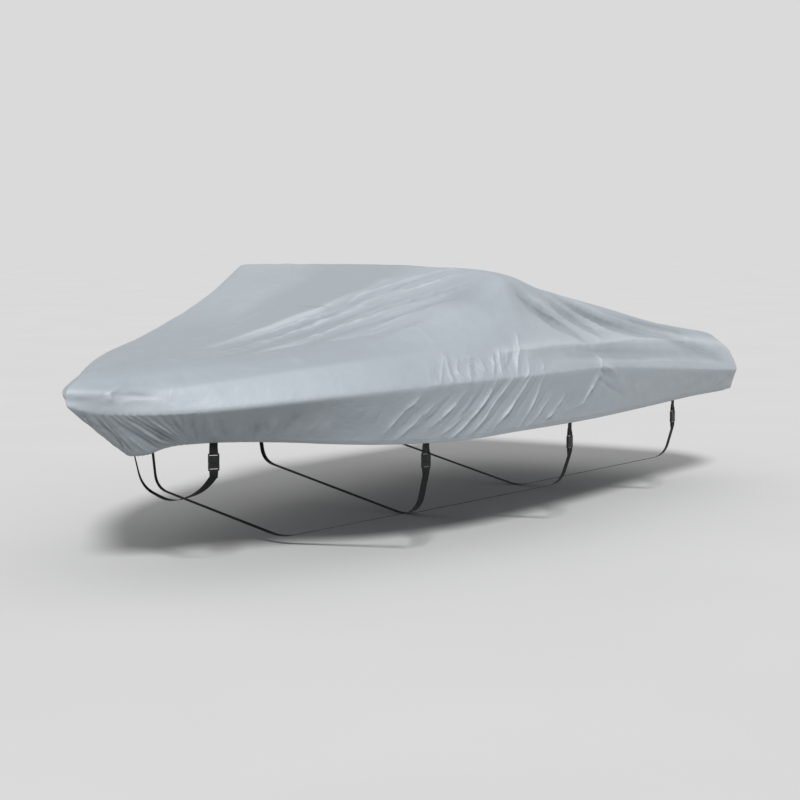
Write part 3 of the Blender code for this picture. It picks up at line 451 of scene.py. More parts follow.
def unit(vectors):
    return vectors / np.maximum(np.linalg.norm(vectors, axis=-1, keepdims=True), 1e-12)


def way_along(points):
    """Way along a path from its first point to each of its points."""
    return np.concatenate([[0.0], np.cumsum(np.linalg.norm(np.diff(points, axis=0), axis=1))])


RAIL_AT = way_along(np.array([(q.rail_x, q.rail_y, q.rail_z) for q in SECTIONS]))
LENGTH = RAIL_AT[-1]


def eased(at, values, s, bend=None):
    """Smooth curve through values at the places at, read at s; it turns sharply at place bend."""
    run = np.diff(at)
    slope = np.diff(values) / run
    arriving = np.empty(len(at))
    arriving[0] = slope[0]
    arriving[-1] = slope[-1]
    arriving[1:-1] = (slope[:-1] * run[1:] + slope[1:] * run[:-1]) / (run[1:] + run[:-1])
    leaving = arriving.copy()
    if bend is not None:
        arriving[bend] = STEEPER * slope[bend - 1]
        leaving[bend] = slope[bend]
    k = np.clip(np.searchsorted(at, s, side="right") - 1, 0, len(at) - 2)
    u = (s - at[k]) / run[k]
    start = (2 * u ** 3 - 3 * u ** 2 + 1) * values[k]
    end = (3 * u ** 2 - 2 * u ** 3) * values[k + 1]
    lean = (u ** 3 - 2 * u ** 2 + u) * leaving[k] + (u ** 3 - u ** 2) * arriving[k + 1]
    return start + end + lean * run[k]


def places_along(fold, count):
    """Places s and g spread evenly over a fold's line."""
    at = np.arange(len(fold.places))
    t = np.linspace(0.0, at[-1], count)
    places = np.array(fold.places)
    return eased(at, places[:, 0], t), eased(at, places[:, 1], t)


def between_folds(folds, share):
    """A fold midway between each two neighbours, with this share of their mean height."""
    between = []
    for a, b in zip(folds, folds[1:]):
        s, g = 0.5 * (np.array(places_along(a, 4)) + np.array(places_along(b, 4)))
        height = share * 0.5 * (a.height + b.height)
        between.append(Fold(height, 0.5 * (a.width + b.width), tuple(zip(s.tolist(), g.tolist()))))
    return between


ALL_FOLDS = (
    BROAD_FOLDS
    + BOW_PLEATS + between_folds(BOW_PLEATS, -0.70)
    + DRAG_CREASES + between_folds(DRAG_CREASES, 0.40)
    + GUNWALE_WRINKLES + between_folds(GUNWALE_WRINKLES, -0.45)
    + OTHER_CREASES
)


def section_value(name, s):
    values = np.array([getattr(q, name) for q in SECTIONS])
    return eased(RAIL_AT, values, s, WINDSCREEN if name in BENT_LINES else None)


def slump(s, side):
    """The cloth slumps a little on the windscreen's port corner: 0 to 1 for the columns at s."""
    return np.exp(-((s - SLUMP_AT) / SLUMP_REACH) ** 2) * (side < 0)


def column_corners(s, side):
    corners = np.zeros((len(s), 5, 3))
    for k, line in enumerate(("hem", "rail", "deck", "ridge")):
        corners[:, k, 0] = section_value(line + "_x", s)
        corners[:, k, 1] = np.maximum(section_value(line + "_y", s), 0.0)
        corners[:, k, 2] = section_value(line + "_z", s)
    corners[:, SPINE, 0] = section_value("spine_x", s)
    corners[:, SPINE, 2] = section_value("spine_z", s)
    corners[:, RIDGE, 2] -= SLUMP_DROP * slump(s, side)
    return corners


def surface_at(s, g, side):
    """Points of the stretched cloth without its folds at the pairs of places s and g."""
    s = np.asarray(s, float)
    g = np.asarray(g, float)
    corners = column_corners(s, side)
    soft = np.zeros((len(s), 5))
    soft[:, RAIL] = RAIL_SOFT
    soft[:, DECK] = section_value("deck_soft", s)
    soft[:, RIDGE] = section_value("ridge_soft", s) + SLUMP_SOFT * slump(s, side)
    row = np.arange(len(s))
    low = np.minimum(np.floor(g).astype(int), 3)
    start, end = corners[row, low], corners[row, low + 1]
    straight = start + (g - low)[:, None] * (end - start)
    nearest = np.rint(g).astype(int)
    share = soft[row, nearest]
    off = g - nearest
    inside = share > np.abs(off)
    reach = np.where(inside, share, 1.0)[:, None]
    corner = corners[row, nearest]
    before = corner + reach * (corners[row, np.maximum(nearest - 1, 0)] - corner)
    after = corner + reach * (corners[row, np.minimum(nearest + 1, 4)] - corner)
    u = (off[:, None] + reach) / (2 * reach)
    arc = (1 - u) ** 2 * before + 2 * u * (1 - u) * corner + u ** 2 * after
    points = np.where(inside[:, None], arc, straight)
    points[:, 1] *= side
    w = np.maximum(g - RIDGE, 0.0)
    points[:, 2] += CLOTH + (corners[:, SPINE, 2] - corners[:, RIDGE, 2]) * (w ** 2 - w ** 3)
    return points


def normals_at(s, g, side):
    """Outward normals of the plain form at pairs of places."""
    along = surface_at(np.minimum(s + NORMAL_STEP, LENGTH), g, side)
    along = along - surface_at(np.maximum(s - NORMAL_STEP, 0.0), g, side)
    up = surface_at(s, np.minimum(g + NORMAL_STEP, 4.0), side)
    up = up - surface_at(s, np.maximum(g - NORMAL_STEP, 0.0), side)
    return unit(np.cross(up, along) * side)


# ---- relief of the cloth
def unevenness(u, v, seed, count, short, long, stretch=1.0):
    """Smooth unevenness, about -1 to 1, of the flat places u and v in metres."""
    rng = np.random.default_rng(seed)
    length = np.exp(rng.uniform(math.log(short), math.log(long), count))
    turn = rng.uniform(0, 2 * math.pi, count)
    phase = rng.uniform(0, 2 * math.pi, count)
    total = np.zeros_like(u)
    for k, a, b in zip(2 * math.pi / length, turn, phase):
        total += np.sin(k * math.cos(a) * u + k * math.sin(a) / stretch * v + b)
    return total / math.sqrt(count)


def crease_profile(distance, fold):
    """Ridges have a narrow crest and long feet; troughs are round."""
    if fold.height > 0:
        tip = TIP * fold.width
        return np.exp((tip - np.sqrt(distance ** 2 + tip ** 2)) / (FOOT * fold.width))
    return np.exp(-(distance / fold.width) ** 2)


def fold_path(fold, side):
    """A fold's line over the plain form; thin folds wander a little from the straight way."""
    t = np.linspace(0.0, 1.0, 25)
    lead = 7.3 * fold.places[0][0] + 3.1 * fold.places[0][1]
    sway = np.sin(9.0 * t + lead) + 0.6 * np.sin(19.0 * t + 2.3 * lead)
    s, g = places_along(fold, len(t))
    s = s + sway * min(0.30 * fold.width, WANDER)
    g = g + 0.006 * np.cos(7.0 * t + lead)
    return surface_at(np.clip(s, 0.0, LENGTH), np.clip(g, 0.0, 4.0), side)


def distance_to(path, points):
    """Distance of each point from the path, and the share of the path's way to its nearest place."""
    start, run = path[:-1], np.diff(path, axis=0)
    p = points[:, None, :]
    u = np.clip(np.sum((p - start) * run, axis=-1) / np.sum(run * run, axis=-1), 0.0, 1.0)
    distance = np.linalg.norm(p - (start + u[..., None] * run), axis=-1)
    best = np.argmin(distance, axis=1)
    pick = np.arange(len(best))
    return distance[pick, best], (best + u[pick, best]) / len(run)


def near_path(path, points, reach):
    return np.all((points > path.min(0) - reach) & (points < path.max(0) + reach), axis=-1)


def fold_offsets(points, folds, side):
    total = np.zeros(len(points))
    for fold in folds:
        path = fold_path(fold, side)
        near = near_path(path, points, REACH * fold.width)
        if not near.any():
            continue
        distance, along = distance_to(path, points[near])
        taper = np.sin(np.pi * (0.06 + 0.88 * along)) ** 0.7
        taper = taper * (0.80 + 0.20 * np.sin(9.0 * along + 11.0 * fold.places[0][0]))
        total[near] += fold.height * taper * crease_profile(distance, fold)
    return total


def calm(points, side):
    """0 at the sewn straps, where the cloth lies smooth, and 1 away from them."""
    factor = np.ones(len(points))
    for station in STATIONS:
        hem = surface_at([station.s], [0.0], side)[0]
        factor *= 1.0 - np.exp(-(np.linalg.norm(points - hem, axis=-1) / CALM) ** 4)
    return factor


def far_share(fold):
    """The far side of the fore deck and of the bow is almost smooth."""
    aft = max(s for s, g in fold.places)
    low = min(g for s, g in fold.places)
    smooth = aft < FORE_DECK_END and low > 2.5 or aft < BOW_RISE_END and low > RAIL
    return FAR_SMOOTH if smooth else 1.0


def folds_of(side):
    if side < 0:
        return ALL_FOLDS
    far = []
    for fold, strength in zip(ALL_FOLDS, cycle(FAR_STRENGTHS)):
        places = [(s + FAR_SHIFT, g) for s, g in fold.places]
        far.append(Fold(fold.height * strength * far_share(fold), fold.width, places))
    return far


# ---- the cloth's mesh
def cloth_columns():
    places = [0.0]
    for end, step in COLUMN_STEPS:
        end = min(end, LENGTH)
        count = max(1, int(round((end - places[-1]) / step)))
        places.extend(np.linspace(places[-1], end, count + 1)[1:])
    return np.array(places)


def cloth_rows():
    rows = [np.linspace(k, k + 1, steps, endpoint=False) for k, steps in enumerate(RUN_STEPS)]
    return np.append(np.concatenate(rows), float(SPINE))


def split_near(bm, side, paths):
    """Halves the long edges of the faces near the creases, apart from those on the shared seams."""
    bm.verts.index_update()
    flat = np.array([v.co[:2] for v in bm.verts])
    points = surface_at(flat[:, 0], flat[:, 1], side)
    faces = list(bm.faces)
    middles = np.array([points[[v.index for v in f.verts]].mean(0) for f in faces])
    longest = np.full(len(faces), np.inf)
    for path, width in paths:
        edge = min(max(CREASE_EDGE * width, LEAST_EDGE), MOST_EDGE)
        near = np.nonzero(near_path(path, middles, CREASE_REACH * width + edge))[0]
        if len(near):
            close = near[distance_to(path, middles[near])[0] < CREASE_REACH * width]
            longest[close] = np.minimum(longest[close], edge)
    seam = (flat[:, 0] < 1e-6) | (flat[:, 0] > LENGTH - 1e-6) | (flat[:, 1] > SPINE - 1e-6)
    edges = set()
    for k in np.nonzero(np.isfinite(longest))[0]:
        for edge in faces[k].edges:
            a, b = (v.index for v in edge.verts)
            if not (seam[a] or seam[b]) and np.linalg.norm(points[a] - points[b]) > longest[k]:
                edges.add(edge)
    bmesh.ops.subdivide_edges(bm, edges=list(edges), cuts=1, use_grid_fill=True)


def half_mesh(side):
    """Places s and g of a half's vertices, and its triangles."""
    columns, rows = cloth_columns(), cloth_rows()
    bm = bmesh.new()
    grid = [[bm.verts.new((s, g, 0.0)) for g in rows] for s in columns]
    for a, b in zip(grid, grid[1:]):
        for j in range(len(rows) - 1):
            bm.faces.new((a[j], a[j + 1], b[j + 1], b[j]))
    paths = [(fold_path(fold, side), fold.width) for fold in folds_of(side) if fold.width < THIN]
    for _ in range(SPLITS):
        split_near(bm, side, paths)
    bm.verts.index_update()
    bm.faces.ensure_lookup_table()
    flat = np.array([v.co[:2] for v in bm.verts])
    faces = [[v.index for v in f.verts] for f in bm.faces]
    bm.free()
    return flat[:, 0], flat[:, 1], faces


def girth(s, g, side):
    """Way up the cloth from the hem to each place, in metres."""
    many, few = GIRTH_GRID
    at_s, at_g = np.linspace(0.0, LENGTH, many + 1), np.linspace(0.0, 4.0, few + 1)
    grid_s, grid_g = np.meshgrid(at_s, at_g, indexing="ij")
    points = surface_at(grid_s.ravel(), grid_g.ravel(), side).reshape(many + 1, few + 1, 3)
    runs = np.linalg.norm(np.diff(points, axis=1), axis=-1)
    table = np.concatenate([np.zeros((many + 1, 1)), np.cumsum(runs, axis=1)], axis=1)
    s = s / LENGTH * many
    g = g / 4.0 * few
    i = np.clip(s.astype(int), 0, many - 1)
    j = np.clip(g.astype(int), 0, few - 1)
    a, b = s - i, g - j
    low = table[i, j] * (1 - a) + table[i + 1, j] * a
    high = table[i, j + 1] * (1 - a) + table[i + 1, j + 1] * a
    return low * (1 - b) + high * b


def relief_at(s, g, v, plain, side):
    """Height of folds, gathers and unevenness over the plain form."""
    seed = 11 if side < 0 else 23
    wander = np.stack([unevenness(s, v, seed + k, 12, 0.10, 0.40) for k in range(3)], axis=-1)
    relief = fold_offsets(plain + 0.0020 * wander, folds_of(side), side)
    # the elastic draws the hem into small gathers, most at the bow and the stern
    pull = 0.35 + 0.75 * np.exp(-(s / 0.45) ** 2) + 0.5 * np.exp(-((s - 5.1) / 0.5) ** 2)
    gather = unevenness(s, v, seed + 5, 14, 0.020, 0.045, 9.0)
    relief += GATHERS * pull * gather * np.exp(-v / GATHERS_FADE)
    # loose cloth between the edges is never quite even
    loose = np.sin(np.pi * (g % 1.0)) ** 2
    relief += LOOSE * unevenness(s, v, seed + 7, 20, 0.10, 0.45) * (0.3 + loose)
    relief += RIPPLE * unevenness(s, v, seed + 9, 24, 0.050, 0.12) * (0.4 + 0.6 * loose)
    return relief * calm(plain, side)


def half_cloth(side):
    s, g, faces = half_mesh(side)
    v = girth(s, g, side)
    plain = surface_at(s, g, side)
    normal = normals_at(s, g, side)
    relief = relief_at(s, g, v, plain, side)
    points = plain + normal * relief[:, None]
    hem = np.nonzero(g < 1e-6)[0]
    hem = hem[np.argsort(s[hem])]
    if side > 0:
        faces = [face[::-1] for face in faces]
    half = {"s": s, "g": g, "v": v, "relief": relief, "points": points, "faces": faces}
    turn_hem(half, hem, normal[hem], side)
    return half


def turn_hem(half, hem, normal, side):
    """Adds the rows that turn in at the hem and run up inside it."""
    s = half["s"][hem]
    edge = half["points"][hem]
    up = unit(surface_at(s, np.full(len(s), 0.03), side) - surface_at(s, np.zeros(len(s)), side))
    # how far in, how far up and the way round the edge of each row
    rows = [
        (HEM_TURN * (1 - math.cos(a)), -HEM_TURN * math.sin(a), HEM_TURN * a)
        for a in (0.25 * math.pi, 0.5 * math.pi, 0.75 * math.pi)
    ]
    for high in (0.15 * HEM_BAND, 0.6 * HEM_BAND, HEM_BAND):
        rows.append((2 * HEM_TURN, high, 2 * HEM_TURN + high))
    previous = hem
    for inward, high, way in rows:
        new = len(half["points"]) + np.arange(len(hem))
        below = np.full(len(s), -way)
        row = {"s": s, "g": below, "v": below, "relief": half["relief"][hem]}
        row["points"] = edge - normal * inward + up * high
        for key, values in row.items():
            half[key] = np.concatenate([half[key], values])
        for face in zip(new[:-1], previous[:-1], previous[1:], new[1:]):
            face = [int(k) for k in face]
            half["faces"].append(face if side < 0 else face[::-1])
        previous = new


def joined(port, starboard):
    """One set of vertices and faces from the halves, sewn together where they meet."""
    def seam_places(half):
        for index, (s, g) in enumerate(zip(half["s"].tolist(), half["g"].tolist())):
            on_seam = s < 1e-6 or s > LENGTH - 1e-6 or g > SPINE - 1e-6
            yield index, (round(s, 5), round(g, 5)) if on_seam else None

    seam = {place: index for index, place in seam_places(port) if place}
    count = len(port["points"])
    new_index = np.empty(len(starboard["points"]), dtype=int)
    extra = []
    for index, place in seam_places(starboard):
        match = seam.get(place)
        if match is None:
            new_index[index] = count + len(extra)
            extra.append(index)
        else:
            new_index[index] = match
            middle = 0.5 * (port["points"][match] + starboard["points"][index])
            middle[1] = 0.0
            port["points"][match] = middle
    points = np.concatenate([port["points"], starboard["points"][extra]])
    faces = port["faces"] + [[int(new_index[k]) for k in face] for face in starboard["faces"]]
    corners = [(port, k, -1) for face in port["faces"] for k in face]
    corners += [(starboard, k, 1) for face in starboard["faces"] for k in face]
    return points, faces, corners


def cloth_mesh(name):
    port, starboard = half_cloth(-1), half_cloth(1)
    points, faces, corners = joined(port, starboard)
    mesh = bpy.data.meshes.new(name)
    mesh.from_pydata(points.tolist(), [], faces)
    places = np.array([
        (half["s"][k] * -side, half["v"][k], half["g"][k], half["relief"][k] / HOLLOW)
        for half, k, side in corners
    ])
    for layer, columns in (("flat", [0, 1]), ("where", [0, 2]), ("height", [3, 3])):
        layer = mesh.uv_layers.new(name=layer)
        layer.data.foreach_set("uv", places[:, columns].astype(np.float32).ravel())
    mesh.shade_smooth()
    bm = bmesh.new()
    bm.from_mesh(mesh)
    bmesh.ops.triangulate(bm, faces=bm.faces)
    bm.to_mesh(mesh)
    bm.free()
    mesh.update()
    return mesh


def linked(name, data):
    obj = bpy.data.objects.new(name, data)
    bpy.context.scene.collection.objects.link(obj)
    return obj


def add_piece(name, mesh, material, node):
    mesh.materials.append(material)
    obj = linked(name, mesh)
    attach(obj, "root")
    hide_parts(node)
    return obj


# ---- webbing
def station_axes(station, side):
    """Along the hem and outward from it, both level."""
    turn = math.radians(station.yaw)
    along = np.array((math.cos(turn), side * math.sin(turn), 0.0))
    outward = np.array((-math.sin(turn), side * math.cos(turn), 0.0))
    return along, outward


def cloth_slope(station, side):
    low, high = surface_at([station.s, station.s], [0.0, 0.5], side)
    outward = station_axes(station, side)[1]
    rise = high - low
    up = unit(outward * rise.dot(outward) + UP * rise[2])
    return up, unit(UP * up.dot(outward) - outward * up[2])


def hem_point(station, side):
    return surface_at([station.s], [0.0], side)[0]


def edge_point(station, side):
    inward = cloth_slope(station, side)[1]
    return hem_point(station, side) + inward * (CLOTH + SEAM_GAP + WEBBING / 2 + EDGE_AIR)


def hang_point(station, side):
    outward = station_axes(station, side)[1]
    return edge_point(station, side) - outward * HANG_IN - UP * HANG_DROP


def sewn_points(station, side):
    """Middle line of the webbing on the inner face of the cloth, from the hem's edge upward."""
    up, inward = cloth_slope(station, side)
    hem = hem_point(station, side)
    away = CLOTH + SEAM_GAP + WEBBING / 2 + SEWN_AIR
    return [hem + up * height + inward * away for height in np.linspace(0.010, SEWN, 5)]


def round_bar(outward, bar, reach, way):
    """Webbing round a bar: it comes along the front, turns, and ends sewn back behind itself."""
    radius = BAR / math.sqrt(2) + 2 * GAP + WEBBING / 2
    behind = WEBBING + 2 * GAP
    up = UP * way
    points = [bar + up * reach, bar + outward * radius + up * (0.3 * reach)]
    for turn in np.linspace(0.0, math.pi, 13):
        points.append(bar + outward * (radius * math.cos(turn)) - up * (radius * math.sin(turn)))
    points.append(bar - outward * radius + up * (0.3 * reach))
    points.append(bar - outward * behind + up * reach)
    points.append(bar - outward * behind + up * (1.3 * reach))
    return points


def buckle_joint(station):
    return hang_point(station, -1) - UP * (station.hang + SOCKET - HANG_DROP)


def bent_path(corners):
    points = [corners[0]]
    for before, corner, after in zip(corners, corners[1:], corners[2:]):
        start = corner + unit(before - corner) * CHINE_BEND
        end = corner + unit(after - corner) * CHINE_BEND
        for u in np.linspace(0.0, 1.0, 12):
            points.append((1 - u) ** 2 * start + 2 * u * (1 - u) * corner + u ** 2 * end)
    points.append(corners[-1])
    return points


def spaced(points, step):
    path = [points[0]]
    for a, b in zip(points, points[1:]):
        count = max(1, math.ceil(np.linalg.norm(b - a) / step))
        path.extend(a + (b - a) * (k / count) for k in range(1, count + 1))
    return path


def webbing_profile():
    """Section of the webbing: flat faces with rounded selvedges, as x across and z through it."""
    w, h = WEBBING_WIDTH / 2, WEBBING / 2
    edge = [(w - inward, share * h) for inward, share in SELVEDGE]
    flat = [(x, h) for x in np.linspace(-0.8 * w, 0.8 * w, 5)]
    top = [(-x, z) for x, z in edge] + flat + edge[:0:-1]
    return top + [(-x, -z) for x, z in top]


def webbing_mesh(name, centres, alongs):
    """Webbing along a path; alongs are the ways across it."""
    centres = np.array(centres)
    alongs = unit(np.array(alongs))
    tangent = unit(np.gradient(centres, axis=0))
    normal = unit(np.cross(alongs, tangent))
    across = np.cross(tangent, normal)
    across *= np.sign(np.sum(across * alongs, axis=1))[:, None]
    way = way_along(centres)
    profile = webbing_profile()
    bm = bmesh.new()
    rings = [
        [bm.verts.new(c + a * x + n * z) for x, z in profile]
        for c, a, n in zip(centres, across, normal)
    ]
    layer = bm.loops.layers.uv.new("flat")
    for i in range(len(rings) - 1):
        for k in range(len(profile)):
            n = (k + 1) % len(profile)
            places = ((i, k), (i, n), (i + 1, n), (i + 1, k))
            face = bm.faces.new([rings[row][p] for row, p in places])
            for loop, (row, p) in zip(face.loops, places):
                loop[layer].uv = (profile[p][0], way[row])
    for ring in (rings[0][::-1], rings[-1]):
        bm.faces.new(ring)
    bmesh.ops.recalc_face_normals(bm, faces=bm.faces)
    mesh = bpy.data.meshes.new(name)
    bm.to_mesh(mesh)
    bm.free()
    mesh.shade_smooth()
    return mesh


def add_webbing(node, centres, alongs, material):
    name = node + "_webbing"
    add_piece(name, webbing_mesh(name, centres, alongs), material, node)


def make_tab(station, material):
    along, outward = station_axes(station, -1)
    bar = buckle_joint(station) + UP * BAR_ABOVE
    points = sewn_points(station, -1)[::-1] + [edge_point(station, -1), hang_point(station, -1)]
    points = spaced(points + round_bar(outward, bar, BAR_REACH, 1), TAB_STEP)
    add_webbing("tab_" + station.name, points, [along] * len(points), material)


def make_strap(station, material):
    port_along, port_outward = station_axes(station, -1)
    starboard_along = station_axes(station, 1)[0]
    bar = buckle_joint(station) - UP * BAR_BELOW
    loop = round_bar(port_outward, bar, BAR_REACH, -1)[::-1]
    top = loop[-1]
    far_top = hang_point(station, 1)
    corners = [
        top,
        np.array((top[0], -station.chine_y, station.chine_z)),
        np.array((top[0], 0.0, station.keel_z)),
        np.array((top[0], station.chine_y, station.chine_z)),
        far_top,
    ]
    path = bent_path(corners)[1:] + [edge_point(station, 1)] + sewn_points(station, 1)
    points = spaced(loop + path, STRAP_STEP)
    alongs = []
    for point in points:
        share = min(max((point[1] - top[1]) / (far_top[1] - top[1]), 0.0), 1.0)
        alongs.append(port_along + (starboard_along - port_along) * share)
    add_webbing("strap_" + station.name, points, alongs, material)


# ---- materials
class Nodes:
    """The nodes of a new material."""

    def __init__(self, name):
        self.material = bpy.data.materials.new(name)
        self.material.use_nodes = True
        self.tree = self.material.node_tree
        self.shader = self.tree.nodes["Principled BSDF"]

    def put(self, socket, value):
        if isinstance(value, bpy.types.NodeSocket):
            self.tree.links.new(value, socket)
        else:
            socket.default_value = (*value, 1.0) if socket.type == "RGBA" else value

    def shade(self, name, value):
        self.put(self.shader.inputs[name], value)

    def node(self, kind, inputs, **settings):
        node = self.tree.nodes.new("ShaderNode" + kind)
        for key, value in settings.items():
            setattr(node, key, value)
        for key, value in inputs.items():
            self.put(node.inputs[key], value)
        return node.outputs

    def uv(self, name):
        """The two parts of a UV layer."""
        vector = self.node("UVMap", {}, uv_map=name)[0]
        return self.node("SeparateXYZ", {0: vector})[:2]

    def place(self, *scale):
        outputs = self.node("TexCoord", {})
        if not scale:
            return outputs["Object"]
        return self.node("Mapping", {"Vector": outputs["Object"], "Scale": scale})[0]

    def math(self, operation, *values):
        return self.node("Math", dict(enumerate(values)), operation=operation)[0]

    def times(self, a, b):
        return self.math("MULTIPLY", a, b)

    def highest(self, a, b):
        return self.math("MAXIMUM", a, b)

    def away(self, value, middle):
        """Distance of a value from the middle."""
        return self.math("ABSOLUTE", self.math("SUBTRACT", value, middle))

    def wave(self, value, length):
        return self.math("SINE", self.times(value, 2 * math.pi / length))

    def noise(self, vector, scale, detail, roughness, distortion=0.0):
        inputs = {"Vector": vector, "Scale": scale, "Detail": detail}
        inputs.update({"Roughness": roughness, "Distortion": distortion})
        return self.node("TexNoise", inputs)[0]

    def ranged(self, value, low, high, to_low=0.0, to_high=1.0):
        inputs = {"Value": value, "From Min": low, "From Max": high, "To Min": to_low, "To Max": to_high}
        return self.node("MapRange", inputs)[0]

    def band(self, value, start, full, fading, end):
        """1 from full to fading, and 0 before the start and past the end."""
        return self.times(self.ranged(value, start, full), self.ranged(value, fading, end, 1.0, 0.0))

    def mixed(self, factor, a, b):
        """Colour between a and b."""
        return self.node("Mix", {0: factor, 6: a, 7: b}, data_type="RGBA")[2]

    def bump(self, height, distance, normal=None, strength=1.0):
        inputs = {"Height": height, "Distance": distance, "Strength": strength}
        if normal is not None:
            inputs["Normal"] = normal
        return self.node("Bump", inputs)[0]


def box_stitch(n, across, up):
    """A sewn rectangle; across is the distance from its middle line, up the height over the hem."""
    beside = n.math("SUBTRACT", across, BOX_HALF_WIDTH)
    above = n.math("SUBTRACT", n.away(up, BOX_MIDDLE), BOX_HALF_HEIGHT)
    return n.ranged(n.math("ABSOLUTE", n.highest(beside, above)), 0.0004, 0.0009, 1.0, 0.0)


def cloth_color(n, along, up, relief):
    """Grey with cloudy fading, handling marks and paler rubbed edges, with painted shade on darker panels
    and in the folds' hollows, and painted highlights on the folds' crests, the nose and the shelf.
    """
    place = n.place()
    cloudy = n.noise(place, 1.6, 4.0, 0.55)
    marks = n.noise(n.place(1.0, 1.0, 2.2), 9.0, 5.0, 0.6)
    color = n.mixed(n.ranged(cloudy, 0.30, 0.70), CLOTH_DARK, CLOTH_LIGHT)
    color = n.mixed(n.ranged(marks, 0.52, 0.78, 0.0, 0.22), color, CLOTH_MARK)
    patchy = n.ranged(n.noise(place, 14.0, 4.0, 0.65), 0.40, 0.65, 0.0, 0.35)
    rubbed = n.times(n.ranged(n.away(up, 1.0), 0.0, 0.10, 1.0, 0.0), patchy)
    color = n.mixed(rubbed, color, CLOTH_WEAR_AND_HIGHLIGHT)
    # painted shade makes the fore deck a tone darker than the band over the gunwale, and round the nose
    # this painted shade comes down almost to the rail
    forward = n.ranged(along, 1.40, 2.00, 1.0, 0.0)
    raised = n.math("ADD", up, n.ranged(along, 0.02, 0.22, NOSE_DROP, 0.0))
    over = n.times(forward, n.ranged(raised, 1.96, 2.12))
    # painted shade also darkens the skirt, the crown and the steep side aft
    under = n.ranged(up, 0.97, 1.02, 1.0, 0.0)
    crown = n.ranged(up, 3.52, 3.74)
    steep = n.times(n.ranged(along, 2.60, 2.90, 0.0, STEEP_SHADE_TONE), n.band(up, 2.36, 2.60, 2.94, 3.06))
    color = n.mixed(n.highest(n.highest(over, under), n.highest(crown, steep)), color, CLOTH_SHADED)
    # painted highlights lighten the shelf aft of the coaming and the nose over the bow's edge
    shelf = n.times(n.ranged(along, 2.40, 2.80, 0.0, SHELF_HIGHLIGHT_TONE), n.band(up, 1.92, 2.06, 2.30, 2.50))
    color = n.mixed(shelf, color, CLOTH_WEAR_AND_HIGHLIGHT)
    lit_nose_band = n.times(n.ranged(up, 1.00, 1.08), n.ranged(raised, 1.80, 2.02, 1.0, 0.0))
    nose = n.times(n.ranged(along, 0.26, 0.50, NOSE_HIGHLIGHT_TONE, 0.0), lit_nose_band)
    color = n.mixed(nose, color, CLOTH_WEAR_AND_HIGHLIGHT)
    # painted shade darkens the hollows of the folds, and painted highlights lighten their crests
    color = n.mixed(n.ranged(relief, -1.0, -0.15, CREASE_SHADE_TONE, 0.0), color, CLOTH_CREASE_SHADE)
    tone = n.ranged(up, 2.95, 3.15, CREST_HIGHLIGHT_TONE, TOP_CREST_HIGHLIGHT_TONE)
    return n.mixed(n.times(n.ranged(relief, 0.10, 0.90), tone), color, CLOTH_WEAR_AND_HIGHLIGHT)


def cloth_material():
    n = Nodes("coated polyester")
    way, height = n.uv("flat")
    signed, up = n.uv("where")
    along = n.math("ABSOLUTE", signed)
    color = cloth_color(n, along, up, n.uv("height")[0])
    # the hem's two rows of stitching and the box at each strap
    dash = n.ranged(n.wave(way, STITCH_PITCH), -0.4, 0.0)
    rows = [n.ranged(n.away(height, row), 0.0003, 0.0007, 1.0, 0.0) for row in HEM_STITCHES]
    stitch = n.times(n.math("ADD", *rows), dash)
    for station in STATIONS:
        stitch = n.highest(stitch, box_stitch(n, n.away(along, station.s), height))
    n.shade("Base Color", n.mixed(stitch, color, THREAD))

    place = n.place()
    n.shade("Roughness", n.ranged(n.noise(place, 5.0, 4.0, 0.6), 0.3, 0.7, 0.52, 0.62))
    n.shade("Specular IOR Level", 0.85)
    n.shade("Sheen Weight", 0.10)
    n.shade("Sheen Roughness", 0.45)

    # crumpled coating, the grooves of the stitching, the thread and the weave on top
    normal = n.bump(n.noise(n.place(1.0, 1.5, 1.5), 11.0, 5.0, 0.55, 0.6), 0.0036)
    normal = n.bump(n.noise(place, 42.0, 4.0, 0.6), 0.0007, normal)
    groove = n.times(*[n.ranged(n.away(height, row), 0.0, 0.0022) for row in HEM_STITCHES])
    normal = n.bump(groove, 0.0008, normal)
    normal = n.bump(stitch, 0.0004, normal)
    threads = n.times(n.wave(way, 2 * WEAVE_PITCH), n.wave(height, 2 * WEAVE_PITCH))
    n.shade("Normal", n.bump(n.ranged(threads, -1.0, 1.0), 0.00010, normal, 0.8))
    return n.material


def webbing_material():
    n = Nodes("black webbing")
    across, along = n.uv("flat")
    # ribs along the webbing, each a row of slanting stitches of the weave
    rib = n.wave(across, RIB_PITCH)
    pick = n.wave(n.math("ADD", along, n.times(rib, 0.0005)), PICK_PITCH)
    height = n.ranged(n.math("ADD", n.times(rib, 0.55), pick), -1.55, 1.55)
    color = n.mixed(n.ranged(height, 0.2, 1.0), WEBBING_DARK, WEBBING_LIGHT)
    dusty = n.ranged(n.noise(n.place(), 30.0, 4.0, 0.6), 0.55, 0.80, 0.0, 0.30)
    n.shade("Base Color", n.mixed(dusty, color, WEBBING_DUST))
    n.shade("Roughness", 0.62)
    n.shade("Specular IOR Level", 0.12)
    n.shade("Normal", n.bump(height, 0.00035))
    return n.material


def plastic_material():
    n = Nodes("moulded black plastic")
    mottled = n.noise(n.place(), 60.0, 4.0, 0.6)
    n.shade("Base Color", n.mixed(n.ranged(mottled, 0.35, 0.70), PLASTIC_DARK, PLASTIC_LIGHT))
    n.shade("Roughness", n.ranged(mottled, 0.3, 0.7, 0.28, 0.42))
    n.shade("Specular IOR Level", 0.22)
    n.shade("Normal", n.bump(n.noise(n.place(), 1400.0, 2.0, 0.5), 0.00006))
    return n.material


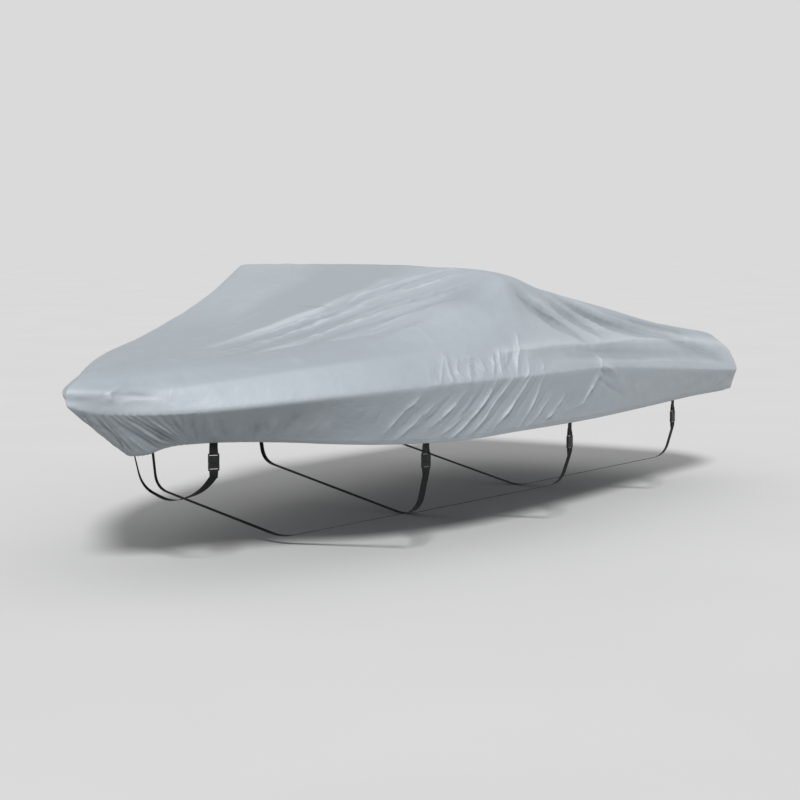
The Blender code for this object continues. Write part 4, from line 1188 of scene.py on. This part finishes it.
def floor_material():
    n = Nodes("pale floor")
    pale, paler = ((share * FLOOR_SHADE,) * 3 for share in (0.97, 1.03))
    n.shade("Base Color", n.mixed(n.noise(n.place(), 0.8, 2.0, 0.5), pale, paler))
    n.shade("Roughness", 0.9)
    n.shade("Specular IOR Level", 0.0)
    return n.material


# ---- stage
def make_floor():
    """A wide round floor, as pale as the light behind it."""
    mesh = bpy.data.meshes.new("floor")
    bm = bmesh.new()
    turns = np.linspace(0.0, 2 * math.pi, 97)[:-1]
    rings = [
        [bm.verts.new((r * math.cos(a), r * math.sin(a), FLOOR_Z)) for a in turns]
        for r in FLOOR_RINGS
    ]
    bm.faces.new(rings[0])
    for low, high in zip(rings, rings[1:]):
        for k in range(len(turns)):
            n = (k + 1) % len(turns)
            bm.faces.new((low[k], high[k], high[n], low[n]))
    bm.to_mesh(mesh)
    bm.free()
    mesh.materials.append(floor_material())
    linked("floor", mesh)


def make_light():
    world = bpy.data.worlds.new("studio")
    bpy.context.scene.world = world
    world.use_nodes = True
    back = world.node_tree.nodes["Background"]
    back.inputs["Color"].default_value = (1.0, 1.0, 1.0, 1.0)
    back.inputs["Strength"].default_value = SKY
    light = bpy.data.lights.new("key", "SUN")
    light.energy = KEY_POWER
    light.angle = math.radians(KEY_SPREAD)
    key = linked("key", light)
    key.location = Vector(KEY_FROM) * 9.0
    key.rotation_euler = Vector(KEY_FROM).to_track_quat("Z", "Y").to_euler()
    bpy.context.scene.view_settings.view_transform = "Standard"


def make_camera():
    data = bpy.data.cameras.new("camera")
    data.lens = LENS
    data.sensor_width = 36.0
    camera = linked("camera", data)
    camera.location = CAMERA_AT
    camera.rotation_mode = "QUATERNION"
    camera.rotation_quaternion = CAMERA_TO.to_track_quat("-Z", "Y")
    bpy.context.scene.camera = camera


# ---- build
make_camera()
make_light()
make_floor()
cloth_shape = cloth_mesh("cover_cloth")
cloth = add_piece("cover_cloth", cloth_shape, cloth_material(), "cover")
webbing = webbing_material()
plastic = plastic_material()
for station in STATIONS:
    make_tab(station, webbing)
    make_strap(station, webbing)
    for part in ("socket_", "plug_"):
        buckle_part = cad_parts[part + station.name]
        buckle_part.data.materials.clear()
        buckle_part.data.materials.append(plastic)
